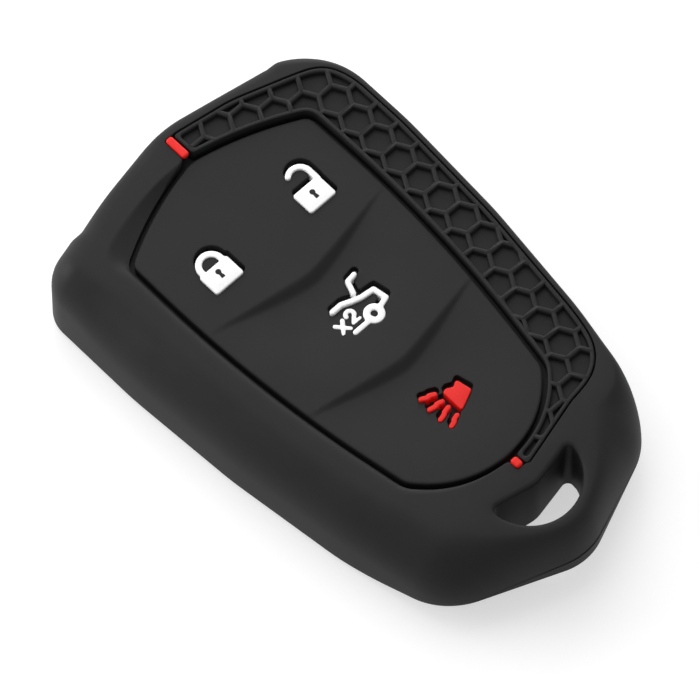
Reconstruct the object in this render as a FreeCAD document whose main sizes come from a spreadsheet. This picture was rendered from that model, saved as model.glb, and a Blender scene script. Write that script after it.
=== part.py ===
import FreeCAD, Part
import math
import os
import Sketcher

# Silicone key fob cover, in millimetres.
# The origin is under the middle of the cover, on the plane it lies on.
# X runs along the cover to the key ring end, Y across it, Z up through the buttons.

doc = FreeCAD.newDocument("key_fob_cover")
sheet = doc.addObject("Spreadsheet::Sheet", "Size")

# Every driving dimension: name, value in millimetres (degrees for angles).
DRIVING_SIZES = (
    # outline of the cover, seen from above
    ("overall_length", 79.2),
    ("shoulder_half_width", 24.65),
    ("shoulder_radius", 11.0),
    ("plain_shoulder_radius", 4.8),
    ("side_bow", 2.26),
    ("side_blend_radius", 60.0),
    ("tail_corner_half_width", 18.3),
    ("tail_corner_radius", 9.7),
    ("tail_radius", 8.4),
    ("tail_angle", 22.0),
    ("apex_radius", 20.0),
    ("roof_angle", 10.7),
    # heights of the cover
    ("cover_height", 14.2),
    ("top_fall", 0.5),
    ("tail_rise_length", 19.6),
    ("tail_rise", 5.5),
    ("tail_drop_length", 12.1),
    ("tail_drop", 0.9),
    ("tail_blend_radius", 30.0),
    ("under_bevel", 1.3),
    ("plain_edge_radius", 4.4),
    ("strip_edge_radius", 1.7),
    ("end_recess_depth", 0.49),
    ("end_recess_half_width", 16.9),
    # hollow for the fob and the window in the back
    ("wall", 2.2),
    ("lip_thickness", 1.8),
    ("lip_width", 7.5),
    ("roof_thickness", 1.2),
    ("hollow_end_gap", 12.6),
    ("window_end_gap", 21.1),
    ("window_corner_radius", 3.0),
    # button panel
    ("panel_apex_gap", 5.63),
    ("panel_foot_gap", 14.12),
    ("panel_shoulder_setback", 5.94),
    ("panel_shoulder_half_width", 16.07),
    ("panel_shoulder_radius", 2.0),
    ("panel_corner_setback", 6.38),
    ("panel_corner_half_width", 12.38),
    ("panel_corner_radius", 3.5),
    ("panel_roof_crown", 1.12),
    ("panel_side_crown", 2.22),
    ("panel_foot_crown", 2.64),
    ("panel_apex_radius", 6.0),
    ("panel_foot_radius", 10.0),
    ("panel_drop", 0.8),
    ("panel_thickness", 1.6),
    ("panel_flange_thickness", 0.6),
    ("panel_edge_bevel", 0.2),
    ("panel_clearance", 0.05),
    ("ledge_width", 1.2),
    ("groove_width", 0.7),
    # soft steps across the panel
    ("upper_step_gap", 8.33),
    ("lower_step_gap", 7.7),
    ("step_depth", 0.45),
    ("step_reach", 14.0),
    ("step_sweep", 2.7),
    ("step_slope", 3.3),
    ("step_vertex_radius", 2.5),
    # chamfer from the rim down to the groove on the plain half
    ("chamfer_width", 2.9),
    ("chamfer_side_width", 1.7),
    ("chamfer_depth", 1.0),
    # honeycomb strip
    ("strip_edge_gap", 1.2),
    ("strip_start_y", 0.85),
    ("strip_end_gap", 1.85),
    ("strip_bend_setback", 3.36),
    ("strip_bend_half_width", 9.71),
    ("strip_bend_radius", 20.0),
    ("strip_bend_angle", 18.8),
    ("strip_thickness", 1.3),
    ("strip_border", 0.55),
    ("strip_gap", 0.2),
    ("strip_foot_inset", 0.48),
    ("strip_foot_half_width", 11.5),
    ("strip_corner_inset", 0.88),
    ("strip_corner_half_width", 16.1),
    ("strip_corner_radius", 3.0),
    ("strip_foot_reach", 2.75),
    ("strip_foot_radius", 8.0),
    ("cell_pitch", 3.95),
    ("cell_web", 0.65),
    ("cell_depth", 0.5),
    ("cell_start_x", -3.3),
    ("cell_start_y", 19.6),
    # accent bars
    ("bar_width", 1.1),
    ("upper_bar_start", 1.8),
    ("upper_bar_length", 3.6),
    ("lower_bar_gap", 1.2),
    ("lower_bar_length", 1.5),
    ("bar_raise", 0.3),
    ("bar_edge_bevel", 0.25),
    ("bar_clearance", 0.05),
    # key ring slot
    ("slot_radius", 7.0),
    ("slot_setback", 3.8),
    ("slot_waist", 5.3),
    ("slot_sweep", 1.5),
    ("slot_tip_radius", 0.8),
    ("slot_waist_radius", 4.0),
    ("slot_lip_bevel", 0.6),
    # buttons
    ("pocket_gap", 0.5),
    ("icon_raise", 0.1),
    ("pad_gap", 0.1),
    ("pad_thickness", 1.1),
    ("pad_margin", 0.9),
    ("nub_radius", 1.8),
    ("nub_height", 0.5),
    # padlock icons
    ("padlock_gap", 14.94),
    ("padlock_y", 8.35),
    ("padlock_length", 3.47),
    ("padlock_width", 4.96),
    ("padlock_corner", 0.4),
    ("shackle_height", 2.55),
    ("shackle_width", 3.7),
    ("shackle_bar", 0.8),
    # boot release icon and alarm icon
    ("icon_grid", 1.0),
    ("line_width", 0.8),
    ("boot_icon_shift", 1.5),
    ("boot_icon_y", 1.35),
    ("wheel_radius", 1.45),
    ("wheel_bore_radius", 0.65),
    ("alarm_icon_gap", 11.08),
    ("alarm_icon_y", 0.05),
    ("horn_corner", 0.3),
)


def fill_sheet():
    for row, (alias, value) in enumerate(DRIVING_SIZES, start=1):
        sheet.set("A%d" % row, alias)
        sheet.set("B%d" % row, repr(value))
        sheet.setAlias("B%d" % row, alias)
    doc.recompute()


fill_sheet()


def size(expression):
    """Value of an expression over the sheet, in millimetres."""
    result = sheet.evalExpression(expression)
    return float(getattr(result, "Value", result))


def bind(target, path, expression):
    target.setExpression(path, expression)


# Sketches with rounded corners

def pin_point(sketch, expressions, point):
    """A construction point held at two expressions."""
    index = sketch.addGeometry(Part.Point(point), True)
    for axis, expression, coordinate in zip("XY", expressions, point):
        if abs(coordinate) < 1e-9:
            other_axis = -2 if axis == "X" else -1
            sketch.addConstraint(Sketcher.Constraint("PointOnObject", index, 1, other_axis))
            continue
        if coordinate > 0:
            constraint = Sketcher.Constraint("Distance" + axis, -1, 1, index, 1, coordinate)
            bound = expression
        else:
            constraint = Sketcher.Constraint("Distance" + axis, index, 1, -1, 1, -coordinate)
            bound = "-(" + expression + ")"
        number = sketch.addConstraint(constraint)
        bind(sketch, "Constraints[%d]" % number, bound)
    return index


def corner_cut(before, corner, after, radius):
    """Where a corner's arc starts and ends, and the point at its middle."""
    to_before = (before - corner).normalize()
    to_after = (after - corner).normalize()
    half_angle = to_before.getAngle(to_after) / 2
    run = radius / math.tan(half_angle)
    inward = (to_before + to_after).normalize()
    middle = corner + inward * (radius / math.sin(half_angle) - radius)
    return corner + to_before * run, middle, corner + to_after * run


def rounded_sketch(name, corners, body=None, height=None):
    """A closed sketch of straight runs; each corner is (x, y, radius or None)."""
    if body is None:
        sketch = doc.addObject("Sketcher::SketchObject", name)
    else:
        sketch = body.newObject("Sketcher::SketchObject", name)
        planes = [f for f in body.Origin.OriginFeatures if f.Role == "XY_Plane"]
        sketch.AttachmentSupport = [(planes[0], "")]
        sketch.MapMode = "FlatFace"
    if height is not None:
        path = "Placement.Base.z" if body is None else "AttachmentOffset.Base.z"
        bind(sketch, path, height)
    points = [FreeCAD.Vector(size(x), size(y), 0) for x, y, radius in corners]
    count = len(points)
    starts, arcs, ends = [], [], []
    for i, (x, y, radius) in enumerate(corners):
        if radius is None:
            starts.append(points[i])
            arcs.append(None)
            ends.append(points[i])
            continue
        cut_points = corner_cut(points[i - 1], points[i], points[(i + 1) % count], size(radius))
        arc = Part.Arc(*cut_points)
        starts.append(cut_points[0])
        arcs.append(arc)
        ends.append(cut_points[2])
    pins = [pin_point(sketch, corners[i][:2], points[i]) for i in range(count)]
    lines = []
    for i in range(count):
        line = Part.LineSegment(ends[i], starts[(i + 1) % count])
        lines.append(sketch.addGeometry(line, False))
    for i in range(count):
        line_in = lines[i - 1]
        line_out = lines[i]
        if arcs[i] is None:
            sketch.addConstraint(Sketcher.Constraint("Coincident", line_in, 2, pins[i], 1))
            sketch.addConstraint(Sketcher.Constraint("Coincident", line_out, 1, pins[i], 1))
            continue
        arc_index = sketch.addGeometry(arcs[i], False)
        first = sketch.getPoint(arc_index, 1)
        forwards = (first - starts[i]).Length < (first - ends[i]).Length
        near, far = (1, 2) if forwards else (2, 1)
        sketch.addConstraint(Sketcher.Constraint("PointOnObject", pins[i], 1, line_in))
        sketch.addConstraint(Sketcher.Constraint("PointOnObject", pins[i], 1, line_out))
        sketch.addConstraint(Sketcher.Constraint("Tangent", line_in, 2, arc_index, near))
        sketch.addConstraint(Sketcher.Constraint("Tangent", arc_index, far, line_out, 1))
        number = sketch.addConstraint(Sketcher.Constraint("Radius", arc_index, size(corners[i][2])))
        bind(sketch, "Constraints[%d]" % number, corners[i][2])
    return sketch


def mirrored(half):
    """Corners of a shape that is even about the X axis, from those with y at or above 0."""
    lower = [(x, "-(" + y + ")", radius) for x, y, radius in half if y != "0"]
    return half + lower[::-1]


def rectangle(x0, x1, y0, y1, radius=None):
    return [(x0, y0, radius), (x1, y0, radius), (x1, y1, radius), (x0, y1, radius)]


# Solids from sketches

def prism(name, profile, low, high):
    """A profile raised from one height to another."""
    solid = doc.addObject("Part::Extrusion", name)
    solid.Base = profile
    solid.DirMode = "Custom"
    solid.Dir = FreeCAD.Vector(0, 0, 1)
    solid.Solid = True
    bind(solid, "LengthFwd", high)
    bind(solid, "LengthRev", "-(" + low + ")")
    return solid


def grown(name, profile, distance):
    """The profile with its edge moved outwards by a distance."""
    offset = doc.addObject("Part::Offset2D", name)
    offset.Source = profile
    offset.Join = "Arc"
    bind(offset, "Value", distance)
    return offset


def fused(name, *pieces):
    result = doc.addObject("Part::MultiFuse", name)
    result.Shapes = list(pieces)
    return result


def shared(name, *pieces):
    result = doc.addObject("Part::MultiCommon", name)
    result.Shapes = list(pieces)
    return result


def cut(name, base, *tools):
    result = doc.addObject("Part::Cut", name)
    result.Base = base
    result.Tool = tools[0] if len(tools) == 1 else fused(name + "_tools", *tools)
    return result


def rounded_edges(name, base, choose, kind="Part::Fillet"):
    """Fillet or chamfer of the edges for which choose gives a pair of sizes."""
    doc.recompute()
    fillet = doc.addObject(kind, name)
    fillet.Base = base
    chosen = []
    for number, edge in enumerate(base.Shape.Edges, start=1):
        radii = choose(edge)
        if radii is not None:
            chosen.append((number, radii[0], radii[1]))
    fillet.Edges = chosen
    return fillet


def finished(solid, label):
    solid.Label = label
    return solid


# Heights and ends that the pieces share

WIDE_END = "-Size.overall_length/2"
TAIL_END = "Size.overall_length/2"
FOOT_HEIGHT = "(Size.cover_height - Size.top_fall)"
DROP_START = "(" + TAIL_END + " - Size.tail_drop_length)"
RISE_START = "(" + TAIL_END + " - Size.tail_rise_length)"
RISE_RATE = "Size.tail_rise/Size.tail_rise_length"
PANEL_Z = "(Size.cover_height - Size.panel_drop)"
PANEL_BASE = "(" + PANEL_Z + " - Size.panel_thickness)"
CEILING_Z = "(" + PANEL_BASE + " - Size.roof_thickness)"
PANEL_APEX = "(" + WIDE_END + " + Size.panel_apex_gap)"
PANEL_FOOT = "(" + TAIL_END + " - Size.panel_foot_gap)"
ABOVE = "(Size.cover_height + Size.lip_width)"
BELOW = "-Size.lip_width"


def top_at(x):
    """Height of the cover's top, which falls gently from the wide end to the foot."""
    run = "(" + DROP_START + " + Size.overall_length/2)"
    return "(Size.cover_height - Size.top_fall*(" + x + " + Size.overall_length/2)/" + run + ")"


# Cover: outline from above and profile from the side

def beside(start, end, share, distance):
    """A point some share of the way from start to end, and a distance to the left of that line."""
    start_x, start_y = start
    end_x, end_y = end
    run_x = "((" + end_x + ") - (" + start_x + "))"
    run_y = "((" + end_y + ") - (" + start_y + "))"
    chord = "sqrt(" + run_x + "^2 + " + run_y + "^2)"
    x = "(" + start_x + ") + " + share + "*" + run_x + " - " + distance + "*" + run_y + "/" + chord
    y = "(" + start_y + ") + " + share + "*" + run_y + " + " + distance + "*" + run_x + "/" + chord
    return x, y


ROOF_POINT = "(" + WIDE_END + " - Size.end_recess_depth - Size.apex_radius*(1/cos(Size.roof_angle) - 1))"
TAIL_POINT = "(" + TAIL_END + " + Size.tail_radius*(1/cos(Size.tail_angle) - 1))"
shoulder = (ROOF_POINT + " + Size.shoulder_half_width*tan(Size.roof_angle)", "Size.shoulder_half_width")
tail_corner_x = TAIL_POINT + " - Size.tail_corner_half_width*tan(Size.tail_angle)"
tail_corner = (tail_corner_x, "Size.tail_corner_half_width")
tail_run = "(Size.tail_corner_half_width/cos(Size.tail_angle) - Size.tail_radius*tan(Size.tail_angle))"
tail_corner_limit = tail_run + "/tan((85 - Size.tail_angle)/2)"
# the shoulder on the plain side is fuller than the one beside the strip
outline_corners = mirrored([
    (ROOF_POINT, "0", "Size.apex_radius"),
    shoulder + ("Size.shoulder_radius",),
    beside(shoulder, tail_corner, "0.25", "0.75*Size.side_bow") + ("Size.side_blend_radius",),
    beside(shoulder, tail_corner, "0.5", "Size.side_bow") + ("Size.side_blend_radius",),
    beside(shoulder, tail_corner, "0.75", "0.75*Size.side_bow") + ("Size.side_blend_radius",),
    tail_corner + ("min(Size.tail_corner_radius; " + tail_corner_limit + ")",),
    (TAIL_POINT, "0", "Size.tail_radius"),
])
outline_corners[-1] = outline_corners[-1][:2] + ("Size.plain_shoulder_radius",)
cover_outline = rounded_sketch("cover_outline", outline_corners)


def side_profile(name, corners):
    """A closed profile in the XZ plane, drawn across the whole width."""
    sketch = rounded_sketch(name + "_profile", corners)
    sketch.Placement = FreeCAD.Placement(FreeCAD.Vector(), FreeCAD.Rotation(FreeCAD.Vector(1, 0, 0), 90))
    solid = doc.addObject("Part::Extrusion", name)
    solid.Base = sketch
    solid.DirMode = "Custom"
    solid.Dir = FreeCAD.Vector(0, 1, 0)
    solid.Solid = True
    solid.Symmetric = True
    bind(solid, "LengthFwd", "3*Size.shoulder_half_width")
    return solid


def make_cover_blank():
    """Pillow of the outer skin, with its underside swept up at the tail."""
    reach = "Size.lip_width"
    tail_out = TAIL_END + " + " + reach
    rise_out = RISE_RATE + "*(Size.tail_rise_length + " + reach + ")"
    drop_out = FOOT_HEIGHT + " - Size.tail_drop*(1 + " + reach + "/Size.tail_drop_length)"
    wide_out = WIDE_END + " - " + reach
    profile = side_profile("cover_side", [
        (wide_out, "0", None),
        (RISE_START, "0", "Size.tail_blend_radius"),
        (tail_out, rise_out, None),
        (tail_out, drop_out, None),
        (DROP_START, FOOT_HEIGHT, "Size.tail_blend_radius"),
        (wide_out, top_at(wide_out), None),
    ])
    column = prism("cover_column", cover_outline, BELOW, ABOVE)
    blank = shared("cover_blank", column, profile)

    middle_z = size("Size.cover_height/2")
    upper_z = size(CEILING_Z)
    flat_ends = size(DROP_START + " + Size.slot_setback")

    def is_rim(edge):
        upright = abs(edge.tangentAt(edge.FirstParameter).z) > 0.7
        across = abs(edge.CenterOfMass.y) < 1e-6 and abs(edge.CenterOfMass.x) < flat_ends
        return not upright and not across

    def under_bevels(edge):
        if is_rim(edge) and edge.CenterOfMass.z < middle_z:
            return (size("Size.under_bevel"),) * 2
        return None

    plain = size("Size.plain_edge_radius")
    beside_strip = size("Size.strip_edge_radius")

    def is_top_rim(edge):
        return is_rim(edge) and edge.CenterOfMass.z > upper_z

    def runs_left(edge):
        """Whether the edge runs anticlockwise round the cover, seen from above."""
        middle = (edge.FirstParameter + edge.LastParameter) / 2
        return edge.valueAt(middle).cross(edge.tangentAt(middle)).z > 0

    softened = rounded_edges("cover_bevelled", blank, under_bevels, "Part::Chamfer")
    doc.recompute()
    rim_runs_left = runs_left(next(edge for edge in softened.Shape.Edges if is_top_rim(edge)))

    def top_radii(edge):
        """Radii at both ends, in the direction in which the rim's first edge runs."""
        if not is_top_rim(edge):
            return None
        ends = [edge.valueAt(edge.FirstParameter), edge.valueAt(edge.LastParameter)]
        if runs_left(edge) != rim_runs_left:
            ends.reverse()
        return tuple(beside_strip if point.y > 0 else plain for point in ends)

    softened = rounded_edges("cover_rounded", softened, top_radii)
    recess_block = prism("end_recess_block", rounded_sketch("end_recess_plan", rectangle(
        ROOF_POINT + " - Size.lip_width", ROOF_POINT + " + Size.shoulder_radius",
        "-Size.end_recess_half_width", "Size.end_recess_half_width")), BELOW, ABOVE)
    core = prism("end_recess_core", grown("end_recess_line", cover_outline, "-Size.end_recess_depth"),
                 BELOW, ABOVE)
    recess = cut("end_recess", recess_block, core)
    return cut("cover_skin", softened, recess)


def make_fob_hollow():
    """Room for the fob, and the window in the back that it goes in through."""
    hollow_end = TAIL_END + " - Size.hollow_end_gap"
    floor_end = "Size.lip_thickness + " + RISE_RATE + "*(Size.tail_rise_length - Size.hollow_end_gap)"
    profile = side_profile("hollow_side", [
        (WIDE_END, "Size.lip_thickness", None),
        (RISE_START, "Size.lip_thickness", None),
        (hollow_end, floor_end, None),
        (hollow_end, CEILING_Z, None),
        (WIDE_END, CEILING_Z, None),
    ])
    inside = prism("hollow_column", grown("hollow_line", cover_outline, "-Size.wall"), BELOW, ABOVE)
    hollow = shared("fob_hollow", inside, profile)
    window_line = grown("window_line", cover_outline, "-Size.lip_width")
    window_end = TAIL_END + " - Size.window_end_gap"
    limit = rounded_sketch("window_limit", rectangle(
        WIDE_END, window_end, "-Size.shoulder_half_width", "Size.shoulder_half_width"))
    window = shared("window_block", prism("window_column", window_line, BELOW, CEILING_Z),
                    prism("window_limit_block", limit, BELOW, CEILING_Z))

    def corner_radii(edge):
        at_end = abs(edge.CenterOfMass.x - size(window_end)) < 1e-3
        upright = abs(edge.tangentAt(edge.FirstParameter).z) > 0.99
        return (size("Size.window_corner_radius"),) * 2 if at_end and upright else None

    return fused("fob_room", hollow, rounded_edges("back_window", window, corner_radii))


# Button panel

apex = (PANEL_APEX, "0")
panel_shoulder = (PANEL_APEX + " + Size.panel_shoulder_setback", "Size.panel_shoulder_half_width")
panel_corner = (PANEL_FOOT + " - Size.panel_corner_setback", "Size.panel_corner_half_width")
foot = (PANEL_FOOT, "0")


def bowed(start, end, crown, share):
    """A corner that bows the edge from start to end by half the crown."""
    x, y = beside(start, end, "0.5", crown)
    half_chord = math.dist([size(e) for e in start], [size(e) for e in end]) / 2
    rise = size(crown)
    half_turn = math.atan2(rise, half_chord)
    radius = share * math.hypot(half_chord, rise) / math.tan(half_turn)
    return x, y, "%.4f" % radius


BOW_SHARE = 0.76
panel_outline = rounded_sketch("panel_outline", mirrored([
    apex + ("Size.panel_apex_radius",),
    bowed(apex, panel_shoulder, "Size.panel_roof_crown", BOW_SHARE),
    panel_shoulder + ("Size.panel_shoulder_radius",),
    bowed(panel_shoulder, panel_corner, "Size.panel_side_crown", BOW_SHARE),
    panel_corner + ("Size.panel_corner_radius",),
    bowed(panel_corner, foot, "Size.panel_foot_crown", BOW_SHARE),
    foot + ("Size.panel_foot_radius",),
]))


# Rows along the panel: padlocks, upper step, boot release, lower step, alarm
PADLOCK_X = "(" + PANEL_APEX + " + Size.padlock_gap)"
UPPER_STEP = "(" + PADLOCK_X + " + Size.upper_step_gap)"
ALARM_X = "(" + PANEL_FOOT + " - Size.alarm_icon_gap)"
LOWER_STEP = "(" + ALARM_X + " - Size.lower_step_gap)"
BOOT_X = "((" + UPPER_STEP + " + " + LOWER_STEP + ")/2 - Size.boot_icon_shift)"


def make_step(name, vertex_x):
    """Scoop below a soft chevron step: deepest at its point and faded out at its reach."""
    low_x = vertex_x + " + Size.step_slope*Size.step_depth"
    wing_x = low_x + " - 2*Size.step_sweep"
    wing_y = "2*Size.step_reach"
    far_x = low_x + " + 2*Size.step_reach"
    plan = rounded_sketch(name + "_plan", mirrored([
        (low_x, "0", "Size.step_vertex_radius"),
        (wing_x, wing_y, None),
        (far_x, wing_y, None),
    ]), height=PANEL_Z + " - 2*Size.step_depth")
    slope = doc.addObject("Part::Extrusion", name + "_slope")
    slope.Base = plan
    slope.DirMode = "Custom"
    slope.Dir = FreeCAD.Vector(-1, 0, 1)
    bind(slope, "Dir.x", "-Size.step_slope")
    slope.Solid = True
    bind(slope, "LengthFwd", "4*Size.step_depth*sqrt(1 + Size.step_slope^2)")
    bowl = doc.addObject("Part::Sphere", name + "_bowl")
    bowl.Placement.Rotation = FreeCAD.Rotation(FreeCAD.Vector(1, 0, 0), 90)
    bowl_radius = "Size.step_reach^2/(2*Size.step_depth)"
    bind(bowl, "Radius", bowl_radius)
    bind(bowl, "Placement.Base.x", vertex_x)
    bind(bowl, "Placement.Base.z", PANEL_Z + " - Size.step_depth + " + bowl_radius)
    return shared(name, slope, bowl)


def panel_dip(icon_x, step_x):
    """How far the scoop of a step lowers the panel at an icon."""
    return "Size.step_depth*(1 - ((" + icon_x + " - " + step_x + ")/Size.step_reach)^2)"


def make_button_panel(pockets):
    plateau_line = grown("panel_plateau_line", panel_outline, "-Size.groove_width/2")
    plateau = prism("panel_plateau", plateau_line, PANEL_BASE, PANEL_Z)
    top_z = size(PANEL_Z)

    def top_edge(edge):
        on_top = min(v.Z for v in edge.Vertexes) > top_z - 1e-6
        return (size("Size.panel_edge_bevel"),) * 2 if on_top else None

    softened = rounded_edges("panel_softened", plateau, top_edge, "Part::Chamfer")
    flange_line = grown("panel_flange_line", panel_outline, "Size.groove_width/2 - Size.panel_clearance")
    flange = prism("panel_flange", flange_line, PANEL_BASE, PANEL_BASE + " + Size.panel_flange_thickness")
    plate = fused("panel_plate", softened, flange)
    upper_step = make_step("upper_step", UPPER_STEP)
    lower_step = make_step("lower_step", LOWER_STEP)
    stepped = cut("panel_stepped", plate, upper_step, lower_step)
    return finished(cut("panel_with_pockets", stepped, *pockets), "button_panel")


# Honeycomb strip beside the panel

STRIP_BASE = "(" + FOOT_HEIGHT + " - Size.strip_thickness)"
strip_corner_x = "(" + PANEL_FOOT + " - Size.strip_corner_inset)"
strip_foot_x = "(" + PANEL_FOOT + " - Size.strip_foot_inset)"
far_y = "2*Size.shoulder_half_width"
strip_bend_x = WIDE_END + " + Size.strip_bend_setback"
strip_bend_run = "(" + far_y + " - Size.strip_bend_half_width)"
strip_limit = rounded_sketch("strip_limit", [
    (WIDE_END + " + Size.strip_end_gap", "Size.strip_start_y", None),
    (strip_bend_x, "Size.strip_bend_half_width", "Size.strip_bend_radius"),
    (strip_bend_x + " + " + strip_bend_run + "*tan(Size.strip_bend_angle)", far_y, None),
    (strip_corner_x + " + Size.strip_corner_half_width - " + far_y, far_y, None),
    (strip_corner_x, "Size.strip_corner_half_width", "Size.strip_corner_radius"),
    (strip_foot_x, "Size.strip_foot_half_width", "Size.strip_foot_radius"),
    (strip_foot_x + " + Size.strip_foot_reach", "Size.strip_start_y", None),
])


def strip_region(name, inset, low, high):
    """The strip's outline, drawn in by an inset, as a solid."""
    outer = prism(name + "_outer", grown(name + "_outer_line", cover_outline,
                                         "-(Size.strip_edge_gap + " + inset + ")"), low, high)
    limit = prism(name + "_limit", grown(name + "_limit_line", strip_limit, "-(" + inset + ")"), low, high)
    inner = prism(name + "_inner", grown(name + "_inner_line", panel_outline,
                                         "Size.groove_width/2 + " + inset), BELOW, ABOVE)
    return cut(name, shared(name + "_band", outer, limit), inner)


def make_cells(field):
    """Hexagonal cells on a close lattice, wherever enough of a cell falls inside the field."""
    doc.recompute()
    pitch = size("Size.cell_pitch")
    row_pitch = pitch * math.sqrt(3) / 2
    box = field.Shape.BoundBox
    first_row = math.floor((box.YMin - size("Size.cell_start_y")) / row_pitch)
    last_row = math.ceil((box.YMax - size("Size.cell_start_y")) / row_pitch)
    first_column = math.floor((box.XMin - size("Size.cell_start_x")) / pitch) - 1
    last_column = math.ceil((box.XMax - size("Size.cell_start_x")) / pitch) + 1
    least_share = 0.1
    cells = []
    for row in range(first_row, last_row + 1):
        for column in range(first_column, last_column + 1):
            shift = column + 0.5 * (row % 2)
            cell = doc.addObject("Part::Prism", "cell")
            cell.Polygon = 6
            bind(cell, "Circumradius", "(Size.cell_pitch - Size.cell_web)/sqrt(3)")
            bind(cell, "Height", "Size.cell_depth + Size.strip_thickness")
            cell.Placement.Rotation = FreeCAD.Rotation(FreeCAD.Vector(0, 0, 1), 30)
            centre_x = "Size.cell_start_x + %.1f*Size.cell_pitch" % shift
            bind(cell, "Placement.Base.x", centre_x)
            bind(cell, "Placement.Base.y", "Size.cell_start_y + %d*Size.cell_pitch*sqrt(3)/2" % row)
            bind(cell, "Placement.Base.z", top_at(centre_x) + " - Size.cell_depth")
            cell.recompute()
            inside = cell.Shape.common(field.Shape).Volume
            if inside > least_share * cell.Shape.Volume:
                cells.append(cell)
            else:
                doc.removeObject(cell.Name)
    return shared("cells_in_field", fused("cells", *cells), field)


def make_honeycomb_strip():
    column = strip_region("strip_column", "0", STRIP_BASE, ABOVE)
    band = shared("strip_band", column, doc.getObject("cover_side"))
    field = strip_region("strip_field", "Size.strip_border", STRIP_BASE, ABOVE)
    return finished(cut("strip", band, make_cells(field)), "honeycomb_strip")


# Accent bars at the two ends of the strip

UPPER_BAR = (WIDE_END + " + Size.upper_bar_start", "Size.upper_bar_length")
LOWER_BAR = (PANEL_FOOT + " + Size.lower_bar_gap - Size.lower_bar_length/2", "Size.lower_bar_length")


def bar_plan(bar, clearance):
    start, length = bar
    half_width = "(Size.bar_width/2 + " + clearance + ")"
    return rectangle(start + " - " + clearance, start + " + " + length + " + " + clearance,
                     "-" + half_width, half_width, "0.8*" + half_width)


def make_bar(label, bar):
    body = doc.addObject("PartDesign::Body", label)
    sketch = rounded_sketch(label + "_plan", bar_plan(bar, "0"), body, STRIP_BASE)
    pad = body.newObject("PartDesign::Pad", label + "_pad")
    pad.Profile = sketch
    bind(pad, "Length", top_at(bar[0]) + " + Size.bar_raise - " + STRIP_BASE)
    doc.recompute()
    top_z = pad.Shape.BoundBox.ZMax
    top = []
    for number, edge in enumerate(pad.Shape.Edges, start=1):
        if min(v.Z for v in edge.Vertexes) > top_z - 1e-6:
            top.append("Edge%d" % number)
    bevel = body.newObject("PartDesign::Chamfer", label + "_bevel")
    bevel.Base = (pad, top)
    bind(bevel, "Size", "Size.bar_edge_bevel")
    return finished(body, label)


# Key ring slot

SLOT_CENTRE = TAIL_END + " - Size.slot_setback - Size.slot_radius"


def make_slot():
    """Half round slot through the tail, with its straight side bent towards the tail."""
    disc = doc.addObject("Part::Cylinder", "slot_disc")
    bind(disc, "Radius", "Size.slot_radius")
    bind(disc, "Height", ABOVE + " + Size.lip_width")
    bind(disc, "Placement.Base.x", SLOT_CENTRE)
    bind(disc, "Placement.Base.z", BELOW)
    waist_x = TAIL_END + " - Size.slot_setback - Size.slot_waist"
    bend = rounded_sketch("slot_bend", mirrored([
        (waist_x, "0", "Size.slot_waist_radius"),
        (waist_x + " - 2*Size.slot_sweep", "2*Size.slot_radius", None),
        (TAIL_END, "2*Size.slot_radius", None),
    ]))
    blank = shared("slot_blank", disc, prism("slot_bend_block", bend, BELOW, ABOVE))

    def tip(edge):
        upright = abs(edge.tangentAt(edge.FirstParameter).z) > 0.99
        at_tip = abs(edge.CenterOfMass.y) > 0.7 * size("Size.slot_radius")
        return (size("Size.slot_tip_radius"),) * 2 if upright and at_tip else None

    return rounded_edges("key_ring_slot", blank, tip)


# Chamfer from the plain half's rim down to the groove

def make_chamfer():
    """Soft slope between the groove's edge below and a wider line at the rim."""
    rim = "Size.groove_width/2"
    side_x, side_y, bow = bowed(panel_shoulder, panel_corner, "Size.panel_side_crown/2", BOW_SHARE)
    route = (
        (PANEL_APEX + " - " + rim, "Size.bar_width", "0", "0"),
        (panel_shoulder[0] + " - " + rim, panel_shoulder[1] + " + " + rim,
         "Size.chamfer_width", "Size.chamfer_side_width"),
        (side_x, side_y + " + " + rim, "0", "Size.chamfer_side_width"),
        (panel_corner[0] + " + " + rim, panel_corner[1] + " + " + rim, "0", "Size.chamfer_side_width"),
        (PANEL_FOOT + " + " + rim, "Size.bar_width", "0", "0"),
    )
    low = [(x, "-(" + y + ")", None) for x, y, wide_x, wide_y in route]
    high = [(x + " - " + wide_x, "-(" + y + " + " + wide_y + ")", None) for x, y, wide_x, wide_y in route]
    low_plan = rounded_sketch("chamfer_low", low, height="Size.cover_height - Size.chamfer_depth")
    high_plan = rounded_sketch("chamfer_high", high, height="Size.cover_height + 0.01")
    loft = doc.addObject("Part::Loft", "chamfer")
    loft.Sections = [low_plan, high_plan]
    loft.Solid = True
    loft.Ruled = True
    return loft


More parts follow.
